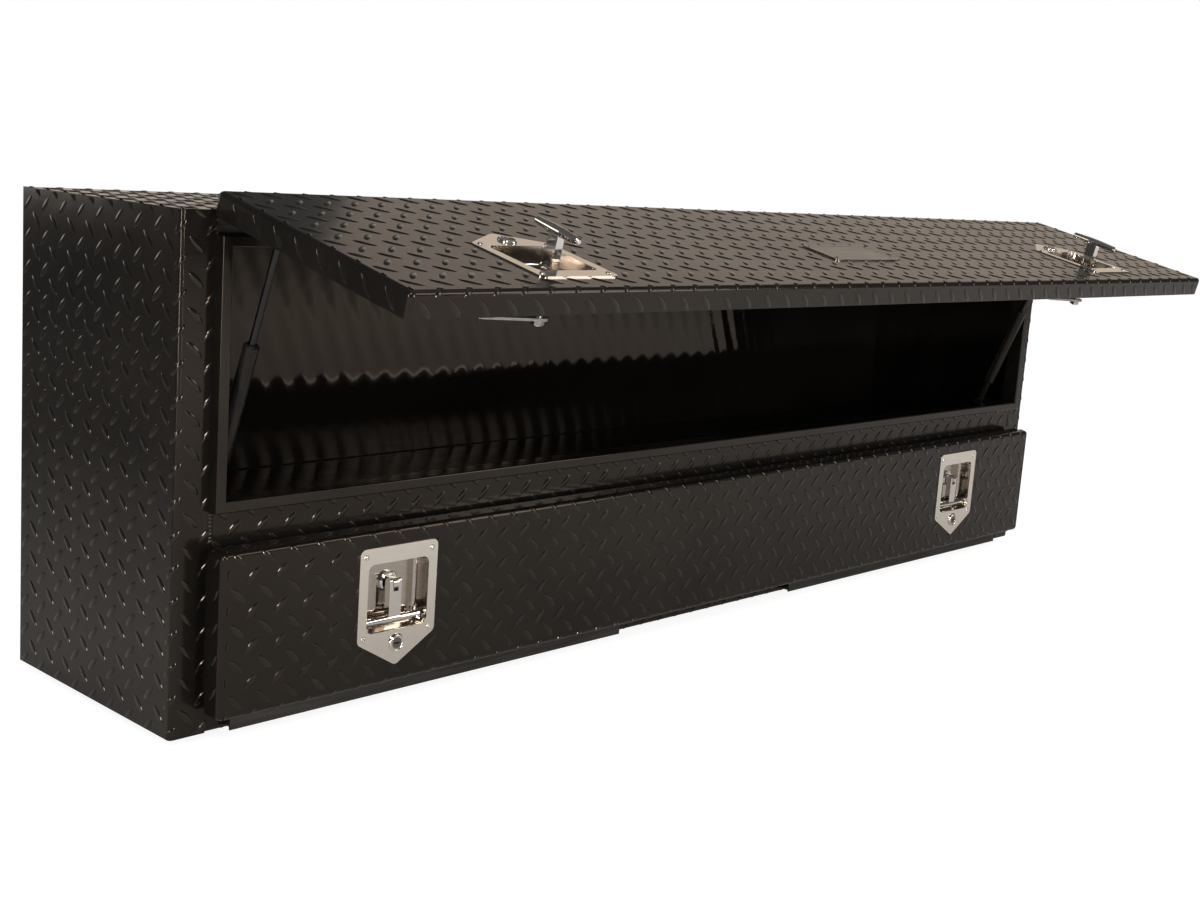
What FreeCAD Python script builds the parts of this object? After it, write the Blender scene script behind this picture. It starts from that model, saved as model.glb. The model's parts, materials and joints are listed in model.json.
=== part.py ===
import FreeCAD, Part
import math
import os

import Sketcher

# Truck bed toolbox: a black tread-plate cabinet with two full-width doors.
# The upper door lifts on a continuous hinge under the top and is held open by
# two gas struts. The lower door drops on two hinge lengths. Each door has two
# folding T-handle latches. Millimetres and degrees. The origin is the centre
# of the base, +X runs along the cabinet, -Y is the front and +Z is up. At rest
# the upper door is open, its handles stand up, and the lower door is closed.

DIMENSIONS = [
    ("length", 1829, "cabinet, end to end"),
    ("depth", 343, "cabinet, front face to back"),
    ("height", 584, "cabinet"),
    ("sheet", 3, "tread plate of the cabinet and the doors"),
    ("bend", 5, "outside radius of a bend in the cabinet"),
    ("weld_fit", 0.2, "gap left for welding between two sheets"),
    ("stile", 45, "front flange of an end panel"),
    ("header", 30, "front flange under the top"),
    ("bottom_rail", 44, "front flange over the floor"),
    ("shelf_level", 213, "top face of the shelf between the compartments"),
    ("shelf_front", 12, "front flange of the shelf"),
    ("shelf_rear", 20, "rear flange of the shelf"),
    ("sill_base", 194, "underside of the rail between the openings"),
    ("sill_height", 70, "face of that rail"),
    ("sill_depth", 30, "how far the rail's flanges run back"),
    ("sill_return", 10, "catch flange that the cam arms hook behind"),
    ("lip_inset", 41.5, "end of the cabinet to the outside of a lip"),
    ("lip_width", 13, "front face of a lip"),
    ("lip_wall", 2.5, "sheet that the lips are folded from"),
    ("lip_tail", 12, "how far a lip runs back into its opening"),
    ("lip_round", 2, "bend radius at the front of a lip"),
    ("upper_lip_base", 255, "underside of the upper lip"),
    ("upper_lip_drop", 26, "top of the cabinet to the top of the upper lip"),
    ("upper_lip_proud", 16, "upper lip in front of the cabinet face"),
    ("lower_lip_base", 38, "underside of the lower lip"),
    ("lower_lip_top", 204, "top of the lower lip"),
    ("lower_lip_proud", 26, "lower lip in front of the cabinet face"),
    ("knuckle", 4, "radius of a hinge knuckle"),
    ("pin", 1.5, "radius of a hinge pin"),
    ("pin_fit", 0.1, "radial running clearance of a pin"),
    ("leaf", 2, "thickness of a hinge leaf"),
    ("leaf_width", 20, "hinge axis to the free edge of a leaf"),
    ("knuckle_gap", 0.5, "gap beside and behind a knuckle"),
    ("upper_knuckles", 23, "knuckles of the upper hinge, an odd number"),
    ("lower_knuckles", 9, "knuckles of each lower hinge, an odd number"),
    ("packer", 10, "thickness of the bar behind a lower hinge"),
    ("packer_base", 1, "underside of that bar"),
    ("packer_height", 19, "height of that bar"),
    ("packer_round", 8, "rounded lower corners of that bar"),
    ("lower_axis", 21, "height of the lower hinge axis"),
    ("lower_hinge_inset", 70, "end of the cabinet to a lower hinge"),
    ("lower_hinge_length", 645, "length of each lower hinge"),
    ("open_angle", 77.5, "upper door from closed to its open stop"),
    ("door_inset", 36, "end of the cabinet to the end of a door"),
    ("pan_depth", 28, "folded edge of a door"),
    ("pan_bend", 6, "outside radius round the face of a door"),
    ("pan_corner", 7, "radius of a welded door corner"),
    ("upper_gap", 2, "closed upper door's edge to the cabinet face"),
    ("upper_lap", 5, "free edge of the closed upper door below its lip"),
    ("lower_rise", 191.5, "top edge of the lower door over its foot"),
    ("leaf_lift", 0.3, "lower door's foot over the knuckles"),
    ("seal_fit", 0.3, "closed seal to the lip that it meets"),
    ("seal_inset", 1.2, "outline of a lip to the outline of its seal"),
    ("stiffener_sheet", 2, "sheet of a door stiffener"),
    ("stiffener_crown", 36, "raised part of a stiffener"),
    ("stiffener_flange", 12, "welded flange of a stiffener"),
    ("stiffener_rise", 12, "height of a stiffener"),
    ("upper_stiffener_inset", 110, "end of the cabinet to the stiffener"),
    ("upper_stiffener_drop", 100, "hinge axis to the upper stiffener"),
    ("lower_stiffener_inset", 380, "end of the cabinet to the stiffener"),
    ("lower_stiffener_rise", 96, "hinge axis to the lower stiffener"),
    ("badge_width", 148, "plain plate on the upper door"),
    ("badge_height", 64, "plain plate on the upper door"),
    ("badge_rise", 2, "thickness of that plate"),
    ("badge_border", 4, "raised border of that plate"),
    ("badge_sink", 0.8, "field of that plate under its border"),
    ("badge_corner", 6, "corner radius of that plate"),
    ("badge_setback", 127, "free edge of the upper door to the middle of that plate"),
    ("upper_hub_inset", 297, "end of the cabinet to an upper latch"),
    ("upper_hub_setback", 86, "free edge of the upper door to its latches"),
    ("lower_hub_inset", 281, "end of the cabinet to a lower latch"),
    ("lower_hub_rise", 125.5, "lower hinge axis to its latches"),
    ("tray_sheet", 1.5, "stainless sheet of a latch tray"),
    ("tray_half", 59, "half the width of a latch plate"),
    ("tray_top", 50, "hub to the square end of a latch plate"),
    ("tray_shoulder", 65, "hub to where the pointed end starts"),
    ("tray_tip", 100, "hub to the pointed tip"),
    ("tray_corner", 8, "corner radius of a latch plate"),
    ("dish_half", 46, "half the width of the dish, inside"),
    ("dish_top", 30, "hub to the square end of the dish"),
    ("dish_base", 55, "hub to the far end of the dish"),
    ("dish_depth", 21, "door face to the floor of the dish"),
    ("dish_draft", 6, "slope of the dish walls"),
    ("dish_corner", 9, "corner radius of the dish, inside"),
    ("dish_floor_round", 5, "radius round the floor of the dish"),
    ("cutout_fit", 1, "door cut-out round the dish"),
    ("boss", 10, "radius of the boss behind the dish"),
    ("boss_height", 6, "boss behind the dish"),
    ("shaft", 5, "radius of the latch shaft"),
    ("shaft_fit", 0.3, "clearance of moving latch parts"),
    ("hub", 13, "radius of the latch hub"),
    ("hub_height", 5, "disc of the latch hub"),
    ("tongue_half", 4, "half the thickness of the hub's tongue"),
    ("tongue_round", 6.5, "rounded end of the hub's tongue"),
    ("pivot_depth", 8, "door face down to the handle pivot"),
    ("pivot_pin", 2.5, "radius of the handle's cross pin"),
    ("stem_half", 9, "half the width of the handle's stem"),
    ("stem_depth", 9, "thickness of the handle's stem"),
    ("fork_reach", 9, "fork slot past the pivot"),
    ("grip_reach", 44, "pivot to the middle of the grip"),
    ("grip", 5.5, "radius of the grip"),
    ("grip_half", 42, "half the length of the grip"),
    ("grip_taper", 1.2, "grip thinner at its ends than in the middle"),
    ("grip_round", 2, "bevelled ends of the grip"),
    ("turned_angle", 100, "upper latches turned from latched to released"),
    ("clocked_angle", 90, "lower cam arms swung clear of their catch"),
    ("arm_gap", 0.5, "cam arm to the catch flange"),
    ("arm_overlap", 10, "cam arm past the edge of its catch"),
    ("arm_thickness", 3, "cam arm"),
    ("arm_half", 10, "half the width of a cam arm"),
    ("square_half", 4, "half the square end of the shaft"),
    ("square_fit", 0.1, "square hole round the square end"),
    ("thread", 3.5, "radius of the threaded end"),
    ("thread_length", 8, "threaded end past the arm"),
    ("nut", 6.5, "flat to centre of the arm's nut"),
    ("nut_height", 6.5, "nut of the cam arm"),
    ("lock_drop", 72, "hub to the lock, towards the tip"),
    ("bezel", 11.5, "radius of the lock's bezel"),
    ("bezel_rise", 2, "bezel over the latch plate"),
    ("barrel", 9.5, "radius of the lock's barrel"),
    ("barrel_depth", 18, "barrel behind the door face"),
    ("barrel_fit", 0.5, "hole round the lock's barrel"),
    ("lock_nut", 12.5, "radius of the nut behind the door skin"),
    ("lock_nut_height", 4, "nut behind the door skin"),
    ("plug", 7, "radius of the lock's plug"),
    ("plug_fit", 0.1, "radial clearance of the plug"),
    ("keyway_half", 0.9, "half the width of the keyway"),
    ("keyway_reach", 4.5, "keyway to each side of the plug's axis"),
    ("keyway_depth", 6, "depth of the keyway"),
    ("tail_reach", 12, "plug's axis to the end of its tail"),
    ("tail_half", 4.5, "half the width of the tail"),
    ("tail_thickness", 2.5, "tail of the plug"),
    ("strut_inset", 77, "end of the cabinet to the strut"),
    ("strut_foot_depth", 47, "cabinet face back to the strut's foot"),
    ("strut_foot_drop", 318, "upper hinge axis to the strut's foot"),
    ("strut_head_drop", 66, "upper hinge axis to the strut's head"),
    ("strut_head_stand", 16.6, "door's inner face to the strut's head"),
    ("ball", 5, "radius of a ball stud"),
    ("ball_fit", 0.3, "socket round the lower ball"),
    ("ball_neck", 2.5, "radius of a ball stud's neck"),
    ("socket", 7.5, "radius of a socket"),
    ("socket_cover", 4, "ball's centre to the mouth of the socket"),
    ("socket_back", 7, "ball's centre to the back of the socket"),
    ("stud_base", 5, "flat to centre of a ball stud's hexagon"),
    ("stud_base_height", 3.6, "hexagon of a ball stud"),
    ("stud_gap", 0.4, "open pivot: stud to the door's bracket"),
    ("bracket_sheet", 3, "sheet of a strut bracket"),
    ("bracket_half", 12, "half the width of a strut bracket"),
    ("bracket_foot", 22, "welded flange of a strut bracket"),
    ("bracket_over", 10, "strut bracket past the stud"),
    ("bracket_round", 8, "rounded end of a strut bracket"),
    ("bracket_bend", 4, "outside bend of a strut bracket"),
    ("tube", 9, "radius of the strut's tube"),
    ("tube_wall", 1.5, "wall of the strut's tube"),
    ("tube_start", 42, "strut's foot to its tube"),
    ("tube_length", 150, "strut's tube"),
    ("tube_cap", 6, "end walls of the tube"),
    ("tube_chamfer", 2, "rolled ends of the tube"),
    ("foot_neck", 5, "radius of the foot's shank"),
    ("rod", 4, "radius of the strut's rod"),
    ("rod_fit", 0.15, "gland round the rod"),
    ("piston_fit", 0.3, "tube round the piston"),
    ("piston_height", 10, "piston"),
    ("piston_rest", 4, "open strut: piston to the gland"),
]

doc = FreeCAD.newDocument("TruckBedToolbox")
sheet = doc.addObject("Spreadsheet::Sheet", "Dims")
for row, (alias, amount, meaning) in enumerate(DIMENSIONS, 1):
    sheet.set("A%d" % row, meaning)
    sheet.set("B%d" % row, str(amount))
    sheet.setAlias("B%d" % row, alias)
doc.recompute()

SUBPARTS = []

FRONT = "(-Dims.depth / 2)"
BACK = "(Dims.depth / 2)"
END = "(Dims.length / 2)"
SIDES = (("left", -1), ("right", 1))


def value(expression):
    """the number that an expression of the sheet gives"""
    result = sheet.evalExpression(str(expression))
    return float(getattr(result, "Value", result))


# frames: placements written as expressions, which chain with " * "

def shift(x=0, y=0, z=0):
    return ("create(<<placement>>; create(<<vector>>; %s; %s; %s); "
            "create(<<rotation>>; create(<<vector>>; 1; 0; 0); 0))" % (x, y, z))


def turn(axis, angle):
    return ("create(<<placement>>; create(<<vector>>; 0; 0; 0); "
            "create(<<rotation>>; create(<<vector>>; %s); %s))" % (axis, angle))


ABOUT_X = "1; 0; 0"
ABOUT_Y = "0; 1; 0"
ABOUT_Z = "0; 0; 1"

# each door's frame has its origin on the hinge axis, with the door closed
UPPER_AXIS_Y = "(%s - Dims.knuckle)" % FRONT
UPPER_AXIS_Z = "(Dims.height - Dims.knuckle)"
LOWER_AXIS_Y = "(%s - Dims.packer - Dims.knuckle)" % FRONT
LOWER_AXIS_Z = "Dims.lower_axis"
UPPER_HINGE = shift(0, UPPER_AXIS_Y, UPPER_AXIS_Z)
UPPER_DOOR = UPPER_HINGE + " * " + turn(ABOUT_X, "-Dims.open_angle")
LOWER_DOOR = shift(0, LOWER_AXIS_Y, LOWER_AXIS_Z)

# outer face and folded edge of each closed door, from its hinge axis
UPPER_EDGE = "(Dims.knuckle - Dims.upper_gap)"
UPPER_FACE = "(%s - Dims.pan_depth)" % UPPER_EDGE
UPPER_TOP = "(Dims.leaf + Dims.sheet - Dims.knuckle)"
UPPER_DROP = "(%s - Dims.upper_lip_base + Dims.upper_lap)" % UPPER_AXIS_Z
UPPER_HUB_DROP = "(%s - Dims.upper_hub_setback)" % UPPER_DROP
UPPER_LIP_TOP = "(Dims.height - Dims.upper_lip_drop)"
LOWER_EDGE = "(Dims.knuckle - Dims.leaf)"
LOWER_FACE = "(%s - Dims.pan_depth)" % LOWER_EDGE
LOWER_FOOT = "(Dims.knuckle + Dims.leaf_lift)"


# sketches and features

def new_body(name, frame=None):
    body = doc.addObject("PartDesign::Body", name)
    body.Label = name
    if frame:
        body.setExpression("Placement", frame)
    SUBPARTS.append(body)
    return body


def new_sketch(body, name, role, offset="0"):
    """a sketch on one of the body's own planes, moved along its normal"""
    sketch = body.newObject("Sketcher::SketchObject", name)
    plane = [item for item in body.Origin.OriginFeatures if item.Role == role][0]
    sketch.AttachmentSupport = [(plane, "")]
    sketch.MapMode = "FlatFace"
    sketch.setExpression("AttachmentOffset.Base.z", str(offset))
    return sketch


def bind(sketch, kind, name, *where, expression):
    """one dimension of a sketch, driven by the sheet"""
    number = sketch.addConstraint(Sketcher.Constraint(kind, *where, value(expression)))
    sketch.renameConstraint(number, name)
    sketch.setExpression("Constraints." + name, str(expression))


def outline(sketch, corners):
    """closed straight outline with every corner driven by the sheet"""
    first = sketch.GeometryCount
    points = [FreeCAD.Vector(value(x), value(y), 0) for x, y in corners]
    count = len(points)
    for index in range(count):
        sketch.addGeometry(Part.LineSegment(points[index], points[(index + 1) % count]))
    for index in range(count):
        following = first + (index + 1) % count
        sketch.addConstraint(Sketcher.Constraint("Coincident", first + index, 2, following, 1))
    for index, (x, y) in enumerate(corners):
        line = first + index
        bind(sketch, "DistanceX", "x%d" % line, -1, 1, line, 1, expression=x)
        bind(sketch, "DistanceY", "y%d" % line, -1, 1, line, 1, expression=y)


def rectangle(sketch, x0, y0, x1, y1):
    outline(sketch, [(x0, y0), (x1, y0), (x1, y1), (x0, y1)])


def rounded_rectangle(sketch, x0, y0, x1, y1, radius):
    """rectangle whose corners are arcs, each centre driven by the sheet"""
    first = sketch.GeometryCount
    size = value(radius)
    centres = [
        ("%s + %s" % (x0, radius), "%s + %s" % (y0, radius), 180),
        ("%s - %s" % (x1, radius), "%s + %s" % (y0, radius), 270),
        ("%s - %s" % (x1, radius), "%s - %s" % (y1, radius), 0),
        ("%s + %s" % (x0, radius), "%s - %s" % (y1, radius), 90),
    ]
    normal = FreeCAD.Vector(0, 0, 1)
    for x, y, start in centres:
        ring = Part.Circle(FreeCAD.Vector(value(x), value(y), 0), normal, size)
        quarter = math.radians(start), math.radians(start + 90)
        sketch.addGeometry(Part.ArcOfCircle(ring, *quarter))
    for index in range(4):
        begin = sketch.getPoint(first + index, 2)
        end = sketch.getPoint(first + (index + 1) % 4, 1)
        side = sketch.addGeometry(Part.LineSegment(begin, end))
        following = first + (index + 1) % 4
        sketch.addConstraint(Sketcher.Constraint("Tangent", first + index, 2, side, 1))
        sketch.addConstraint(Sketcher.Constraint("Tangent", side, 2, following, 1))
    for index, (x, y, start) in enumerate(centres):
        arc = first + index
        bind(sketch, "DistanceX", "x%d" % arc, -1, 1, arc, 3, expression=x)
        bind(sketch, "DistanceY", "y%d" % arc, -1, 1, arc, 3, expression=y)
        bind(sketch, "Radius", "r%d" % arc, arc, expression=radius)


def circle(sketch, x, y, radius):
    place = FreeCAD.Vector(value(x), value(y), 0)
    line = sketch.addGeometry(Part.Circle(place, FreeCAD.Vector(0, 0, 1), value(radius)))
    bind(sketch, "DistanceX", "x%d" % line, -1, 1, line, 3, expression=x)
    bind(sketch, "DistanceY", "y%d" % line, -1, 1, line, 3, expression=y)
    bind(sketch, "Radius", "r%d" % line, line, expression=radius)


def pad(body, name, sketch, length, reverse=False):
    feature = body.newObject("PartDesign::Pad", name)
    feature.Profile = sketch
    feature.Reversed = reverse
    feature.setExpression("Length", str(length))
    doc.recompute()
    return feature


def pocket(body, name, sketch, length=None, reverse=False):
    """a cut against the sketch's normal, right through without a length"""
    before = body.Shape.Volume
    feature = body.newObject("PartDesign::Pocket", name)
    feature.Profile = sketch
    feature.Reversed = reverse
    if length is None:
        feature.Type = "ThroughAll"
    else:
        feature.setExpression("Length", str(length))
    doc.recompute()
    if feature.Shape.Volume >= before:
        raise ValueError("%s cuts nothing from %s" % (name, body.Label))
    return feature


def revolve(body, name, sketch, axis="V_Axis", angle=None, middle=False):
    feature = body.newObject("PartDesign::Revolution", name)
    feature.Profile = sketch
    feature.ReferenceAxis = (sketch, [axis])
    feature.Midplane = middle
    if angle is None:
        feature.Angle = 360
    else:
        feature.setExpression("Angle", angle)
    doc.recompute()
    return feature


def edge_names(feature, test):
    """edges whose middle point and direction pass a test"""
    names = []
    for number, edge in enumerate(feature.Shape.Edges, 1):
        half = (edge.FirstParameter + edge.LastParameter) / 2
        if test(edge.valueAt(half), edge.tangentAt(half)):
            names.append("Edge%d" % number)
    return names


def edge_feature(body, name, feature, size, test, kind, dimension):
    names = edge_names(feature, test)
    if not names:
        raise ValueError("%s finds no edge on %s" % (name, body.Label))
    worked = body.newObject("PartDesign::" + kind, name)
    worked.Base = (feature, names)
    worked.setExpression(dimension, str(size))
    doc.recompute()
    return worked


def fillet(body, name, feature, radius, test):
    return edge_feature(body, name, feature, radius, test, "Fillet", "Radius")


def chamfer(body, name, feature, size, test):
    return edge_feature(body, name, feature, size, test, "Chamfer", "Size")


def hollow(body, name, feature, wall, test):
    """shell a body inwards, open at the faces whose centre passes a test"""
    names = []
    for number, face in enumerate(feature.Shape.Faces, 1):
        if test(face.CenterOfMass):
            names.append("Face%d" % number)
    shell = body.newObject("PartDesign::Thickness", name)
    shell.Base = (feature, names)
    shell.Reversed = True
    shell.setExpression("Value", str(wall))
    doc.recompute()
    return shell


def near(a, b):
    return abs(a - b) < 0.01


def is_along_x(middle, along):
    return abs(along.x) > 0.99


def is_along_y(middle, along):
    return abs(along.y) > 0.99


def is_along_z(middle, along):
    return abs(along.z) > 0.99


def bends(body, feature, outer, inner, corners, along):
    """round a folded sheet: corners are (point, is_outer) in the section"""
    def picks(want_outer):
        def test(middle, direction):
            if not along(middle, direction):
                return False
            spots = [spot for spot, is_outer in corners if is_outer == want_outer]
            if along is is_along_x:
                place = (middle.y, middle.z)
            else:
                place = (middle.x, middle.y)
            return any(near(place[0], spot[0]) and near(place[1], spot[1]) for spot in spots)
        return test
    rounded = fillet(body, "OuterBends", feature, outer, picks(True))
    return fillet(body, "InnerBends", rounded, inner, picks(False))


def section_corners(corners, outer, inner):
    """section points by index, as numbers, for bends()"""
    spots = []
    for index in outer:
        spots.append(((value(corners[index][0]), value(corners[index][1])), True))
    for index in inner:
        spots.append(((value(corners[index][0]), value(corners[index][1])), False))
    return spots


INNER_BEND = "Dims.bend - Dims.sheet"


# cabinet

def wrap_shell():
    """floor, back and top in one sheet, with the two front flanges"""
    body = new_body("wrap_shell")
    front_in = FRONT + " + Dims.sheet"
    back_in = BACK + " - Dims.sheet"
    roof_in = "Dims.height - Dims.sheet"
    header_edge = "Dims.height - Dims.header"
    corners = [
        (FRONT, header_edge), (FRONT, "Dims.height"), (BACK, "Dims.height"), (BACK, "0"),
        (FRONT, "0"), (FRONT, "Dims.bottom_rail"), (front_in, "Dims.bottom_rail"),
        (front_in, "Dims.sheet"), (back_in, "Dims.sheet"), (back_in, roof_in),
        (front_in, roof_in), (front_in, header_edge),
    ]
    half = END + " - Dims.sheet"
    section = new_sketch(body, "Section", "YZ_Plane", "-(%s)" % half)
    outline(section, corners)
    folded = pad(body, "Folded", section, "2 * (%s)" % half)
    spots = section_corners(corners, (1, 2, 3, 4), (7, 8, 9, 10))
    bends(body, folded, "Dims.bend", INNER_BEND, spots, is_along_x)
    notches = new_sketch(body, "Notches", "XY_Plane", "Dims.height + Dims.sheet")
    stile_edge = END + " - Dims.stile"
    behind = front_in + " + Dims.weld_fit"
    before = FRONT + " - Dims.sheet"
    rectangle(notches, stile_edge, before, END, behind)
    rectangle(notches, "-(%s)" % END, before, "-(%s)" % stile_edge, behind)
    pocket(body, "NotchedCorners", notches)


def end_panel(name, side):
    """end of the cabinet with its front flange, the stile"""
    body = new_body(name)
    outside = "%d * %s" % (side, END)
    inside = "%d * (%s - Dims.sheet)" % (side, END)
    edge = "%d * (%s - Dims.stile)" % (side, END)
    front_in = FRONT + " + Dims.sheet"
    corners = [
        (outside, FRONT), (edge, FRONT), (edge, front_in),
        (inside, front_in), (inside, BACK), (outside, BACK),
    ]
    section = new_sketch(body, "Section", "XY_Plane")
    outline(section, corners)
    folded = pad(body, "Folded", section, "Dims.height")
    spots = section_corners(corners, (0,), (3,))
    bends(body, folded, "Dims.bend", INNER_BEND, spots, is_along_z)


def mid_shelf():
    """floor of the upper compartment, flanged down at front and back"""
    body = new_body("mid_shelf")
    front = FRONT + " + Dims.sheet + Dims.weld_fit"
    back = BACK + " - Dims.sheet - Dims.weld_fit"
    top = "Dims.shelf_level"
    under = "Dims.shelf_level - Dims.sheet"
    corners = [
        (front, top + " - Dims.shelf_front"), (front, top), (back, top),
        (back, top + " - Dims.shelf_rear"), (back + " - Dims.sheet", top + " - Dims.shelf_rear"),
        (back + " - Dims.sheet", under), (front + " + Dims.sheet", under),
        (front + " + Dims.sheet", top + " - Dims.shelf_front"),
    ]
    half = END + " - Dims.sheet - Dims.weld_fit"
    section = new_sketch(body, "Section", "YZ_Plane", "-(%s)" % half)
    outline(section, corners)
    folded = pad(body, "Folded", section, "2 * (%s)" % half)
    spots = section_corners(corners, (1, 2), (5, 6))
    bends(body, folded, "Dims.bend", INNER_BEND, spots, is_along_x)


def sill_rail():
    """channel between the openings; its returns are the latches' catches"""
    body = new_body("sill_rail")
    front_in = FRONT + " + Dims.sheet"
    rear = FRONT + " + Dims.sill_depth"
    rear_in = rear + " - Dims.sheet"
    low = "Dims.sill_base"
    high = "Dims.sill_base + Dims.sill_height"
    corners = [
        (FRONT, low), (FRONT, high), (rear, high), (rear, high + " - Dims.sill_return"),
        (rear_in, high + " - Dims.sill_return"), (rear_in, high + " - Dims.sheet"),
        (front_in, high + " - Dims.sheet"), (front_in, low + " + Dims.sheet"),
        (rear_in, low + " + Dims.sheet"), (rear_in, low + " + Dims.sill_return"),
        (rear, low + " + Dims.sill_return"), (rear, low),
    ]
    half = END + " - Dims.stile"
    section = new_sketch(body, "Section", "YZ_Plane", "-(%s)" % half)
    outline(section, corners)
    folded = pad(body, "Folded", section, "2 * (%s)" % half)
    spots = section_corners(corners, (0, 1, 2, 11), (5, 6, 7, 8))
    bends(body, folded, "Dims.bend", INNER_BEND, spots, is_along_x)


def opening_lip(name, base, top, proud):
    """welded rain lip: outer wall, front face and an inner wall through the opening"""
    body = new_body(name)
    half = END + " - Dims.lip_inset"

    def ring(label, outer, inner, length):
        sketch = new_sketch(body, label + "Outline", "XZ_Plane", "-(%s) + %s" % (FRONT, proud))
        for inset in (outer, inner):
            wide = "%s - %s" % (half, inset)
            rectangle(sketch, "-(%s)" % wide, "%s + %s" % (base, inset),
                      wide, "%s - %s" % (top, inset))
        return pad(body, label, sketch, length, reverse=True)

    ring("OuterWall", "0", "Dims.lip_wall", proud)
    ring("FrontFace", "0", "Dims.lip_width", "Dims.lip_wall")
    inner = "(Dims.lip_width - Dims.lip_wall)"
    walls = ring("InnerWall", inner, "Dims.lip_width", "%s + Dims.lip_tail" % proud)
    face = value("%s - %s" % (FRONT, proud))

    def front_edge(middle, along):
        return near(middle.y, face)

    fillet(body, "RoundedFace", walls, "Dims.lip_round", front_edge)


# hinges: the hinge frame has X along the pin

def hinge_leaf(name, frame, length, count, first, plate, tabs):
    """leaf plate, its knuckles and its tabs; first is 0 or 1, the knuckle it starts with"""
    body = new_body(name, frame)
    start = "-(%s) / 2" % length
    pitch = "(%s) / %s" % (length, count)
    knuckle_start = "%s + %s * %d + Dims.knuckle_gap / 2" % (start, pitch, first)
    width = pitch + " - Dims.knuckle_gap"
    repeats = "(%s + 1) / 2 - %d" % (count, first)
    blank = new_sketch(body, "PlateOutline", "YZ_Plane", start)
    rectangle(blank, *plate)
    pad(body, "Plate", blank, length)
    tab_sketch = new_sketch(body, "TabOutline", "YZ_Plane", knuckle_start)
    rectangle(tab_sketch, *tabs)
    tab = pad(body, "Tab", tab_sketch, width)
    roll_sketch = new_sketch(body, "KnuckleOutline", "YZ_Plane", knuckle_start)
    circle(roll_sketch, "0", "0", "Dims.knuckle")
    roll = pad(body, "Knuckle", roll_sketch, width)
    row = body.newObject("PartDesign::LinearPattern", "KnuckleRow")
    row.Originals = [tab, roll]
    axis = [item for item in body.Origin.OriginFeatures if item.Role == "X_Axis"][0]
    row.Direction = (axis, [""])
    row.setExpression("Length", "2 * %s * (%s - 1)" % (pitch, repeats))
    row.setExpression("Occurrences", repeats)
    body.Tip = row
    doc.recompute()
    bore = new_sketch(body, "BoreOutline", "YZ_Plane", "(%s) / 2 + Dims.leaf" % length)
    circle(bore, "0", "0", "Dims.pin + Dims.pin_fit")
    pocket(body, "Bore", bore)
    return body


def cylinder(name, radius, length, frame):
    rod = doc.addObject("Part::Cylinder", name)
    rod.Label = name
    rod.setExpression("Radius", radius)
    rod.setExpression("Height", length)
    rod.setExpression("Placement", frame)
    return rod


def hinge_pin(name, frame, length):
    lying = frame + " * " + shift("-(%s) / 2" % length) + " * " + turn(ABOUT_Y, "90")
    return cylinder(name, "Dims.pin", length, lying)


def group(name, members):
    """several solids that share one node"""
    bundle = doc.addObject("Part::Compound", name)
    bundle.Label = name
    bundle.Links = members
    SUBPARTS.append(bundle)
    return bundle


BEHIND = "(Dims.knuckle + Dims.knuckle_gap)"
FRAME_PLATE = ("Dims.knuckle - Dims.leaf", "-Dims.leaf_width", "Dims.knuckle", "-" + BEHIND)
FRAME_TABS = ("Dims.knuckle - Dims.leaf", "-" + BEHIND, "Dims.knuckle", "0")
UPPER_HINGE_LENGTH = "(2 * (%s - Dims.door_inset - Dims.pan_corner))" % END


def upper_hinge():
    """continuous hinge: one leaf hangs on the header, one lies under the door's edge"""
    count = "Dims.upper_knuckles"
    hinge_leaf("upper_hinge_frame_leaf", UPPER_HINGE, UPPER_HINGE_LENGTH, count, 0,
               FRAME_PLATE, FRAME_TABS)
    SUBPARTS.append(hinge_pin("upper_hinge_pin", UPPER_HINGE, UPPER_HINGE_LENGTH))
    low = "-Dims.knuckle"
    high = "-Dims.knuckle + Dims.leaf"
    hinge_leaf("upper_hinge_door_leaf", UPPER_DOOR, UPPER_HINGE_LENGTH, count, 1,
               ("-Dims.leaf_width", low, "-" + BEHIND, high), ("-" + BEHIND, low, "0", high))


def hinge_packer(side):
    """bar that carries a lower hinge in front of the bottom rail"""
    body = doc.addObject("PartDesign::Body", "HingePacker")
    near_end = "%d * (%s - Dims.lower_hinge_inset)" % (side, END)
    far_end = "%d * (%s - Dims.lower_hinge_inset - Dims.lower_hinge_length)" % (side, END)
    face = new_sketch(body, "Face", "XZ_Plane", "-(%s)" % FRONT)
    rectangle(face, near_end, "Dims.packer_base", far_end, "Dims.packer_base + Dims.packer_height")
    bar = pad(body, "Bar", face, "Dims.packer")
    foot = value("Dims.packer_base")

    def lower_corner(middle, along):
        return is_along_y(middle, along) and near(middle.z, foot)

    fillet(body, "RoundedCorners", bar, "Dims.packer_round", lower_corner)
    return body


def lower_hinges():
    """two hinge lengths; the door's leaf lies under its folded foot"""
    group("lower_hinge_packers", [hinge_packer(side) for name, side in SIDES])
    pins = []
    for name, side in SIDES:
        middle = "%d * (%s - Dims.lower_hinge_inset - Dims.lower_hinge_length / 2)" % (side, END)
        frame = LOWER_DOOR + " * " + shift(middle)
        length = "Dims.lower_hinge_length"
        count = "Dims.lower_knuckles"
        hinge_leaf("lower_%s_hinge_frame_leaf" % name, frame, length, count, 0,
                   FRAME_PLATE, FRAME_TABS)
        low = LOWER_FOOT + " - Dims.leaf"
        hinge_leaf("lower_%s_hinge_door_leaf" % name, frame, length, count, 1,
                   ("-Dims.leaf_width", low, "-" + BEHIND, LOWER_FOOT),
                   ("-" + BEHIND, low, "0", LOWER_FOOT))
        pins.append(hinge_pin("LowerPin", frame, length))
    group("lower_hinge_pins", pins)


# doors: folded pans in the frame of their hinge

DISH_GAP = "(Dims.tray_sheet + Dims.cutout_fit)"


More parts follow.
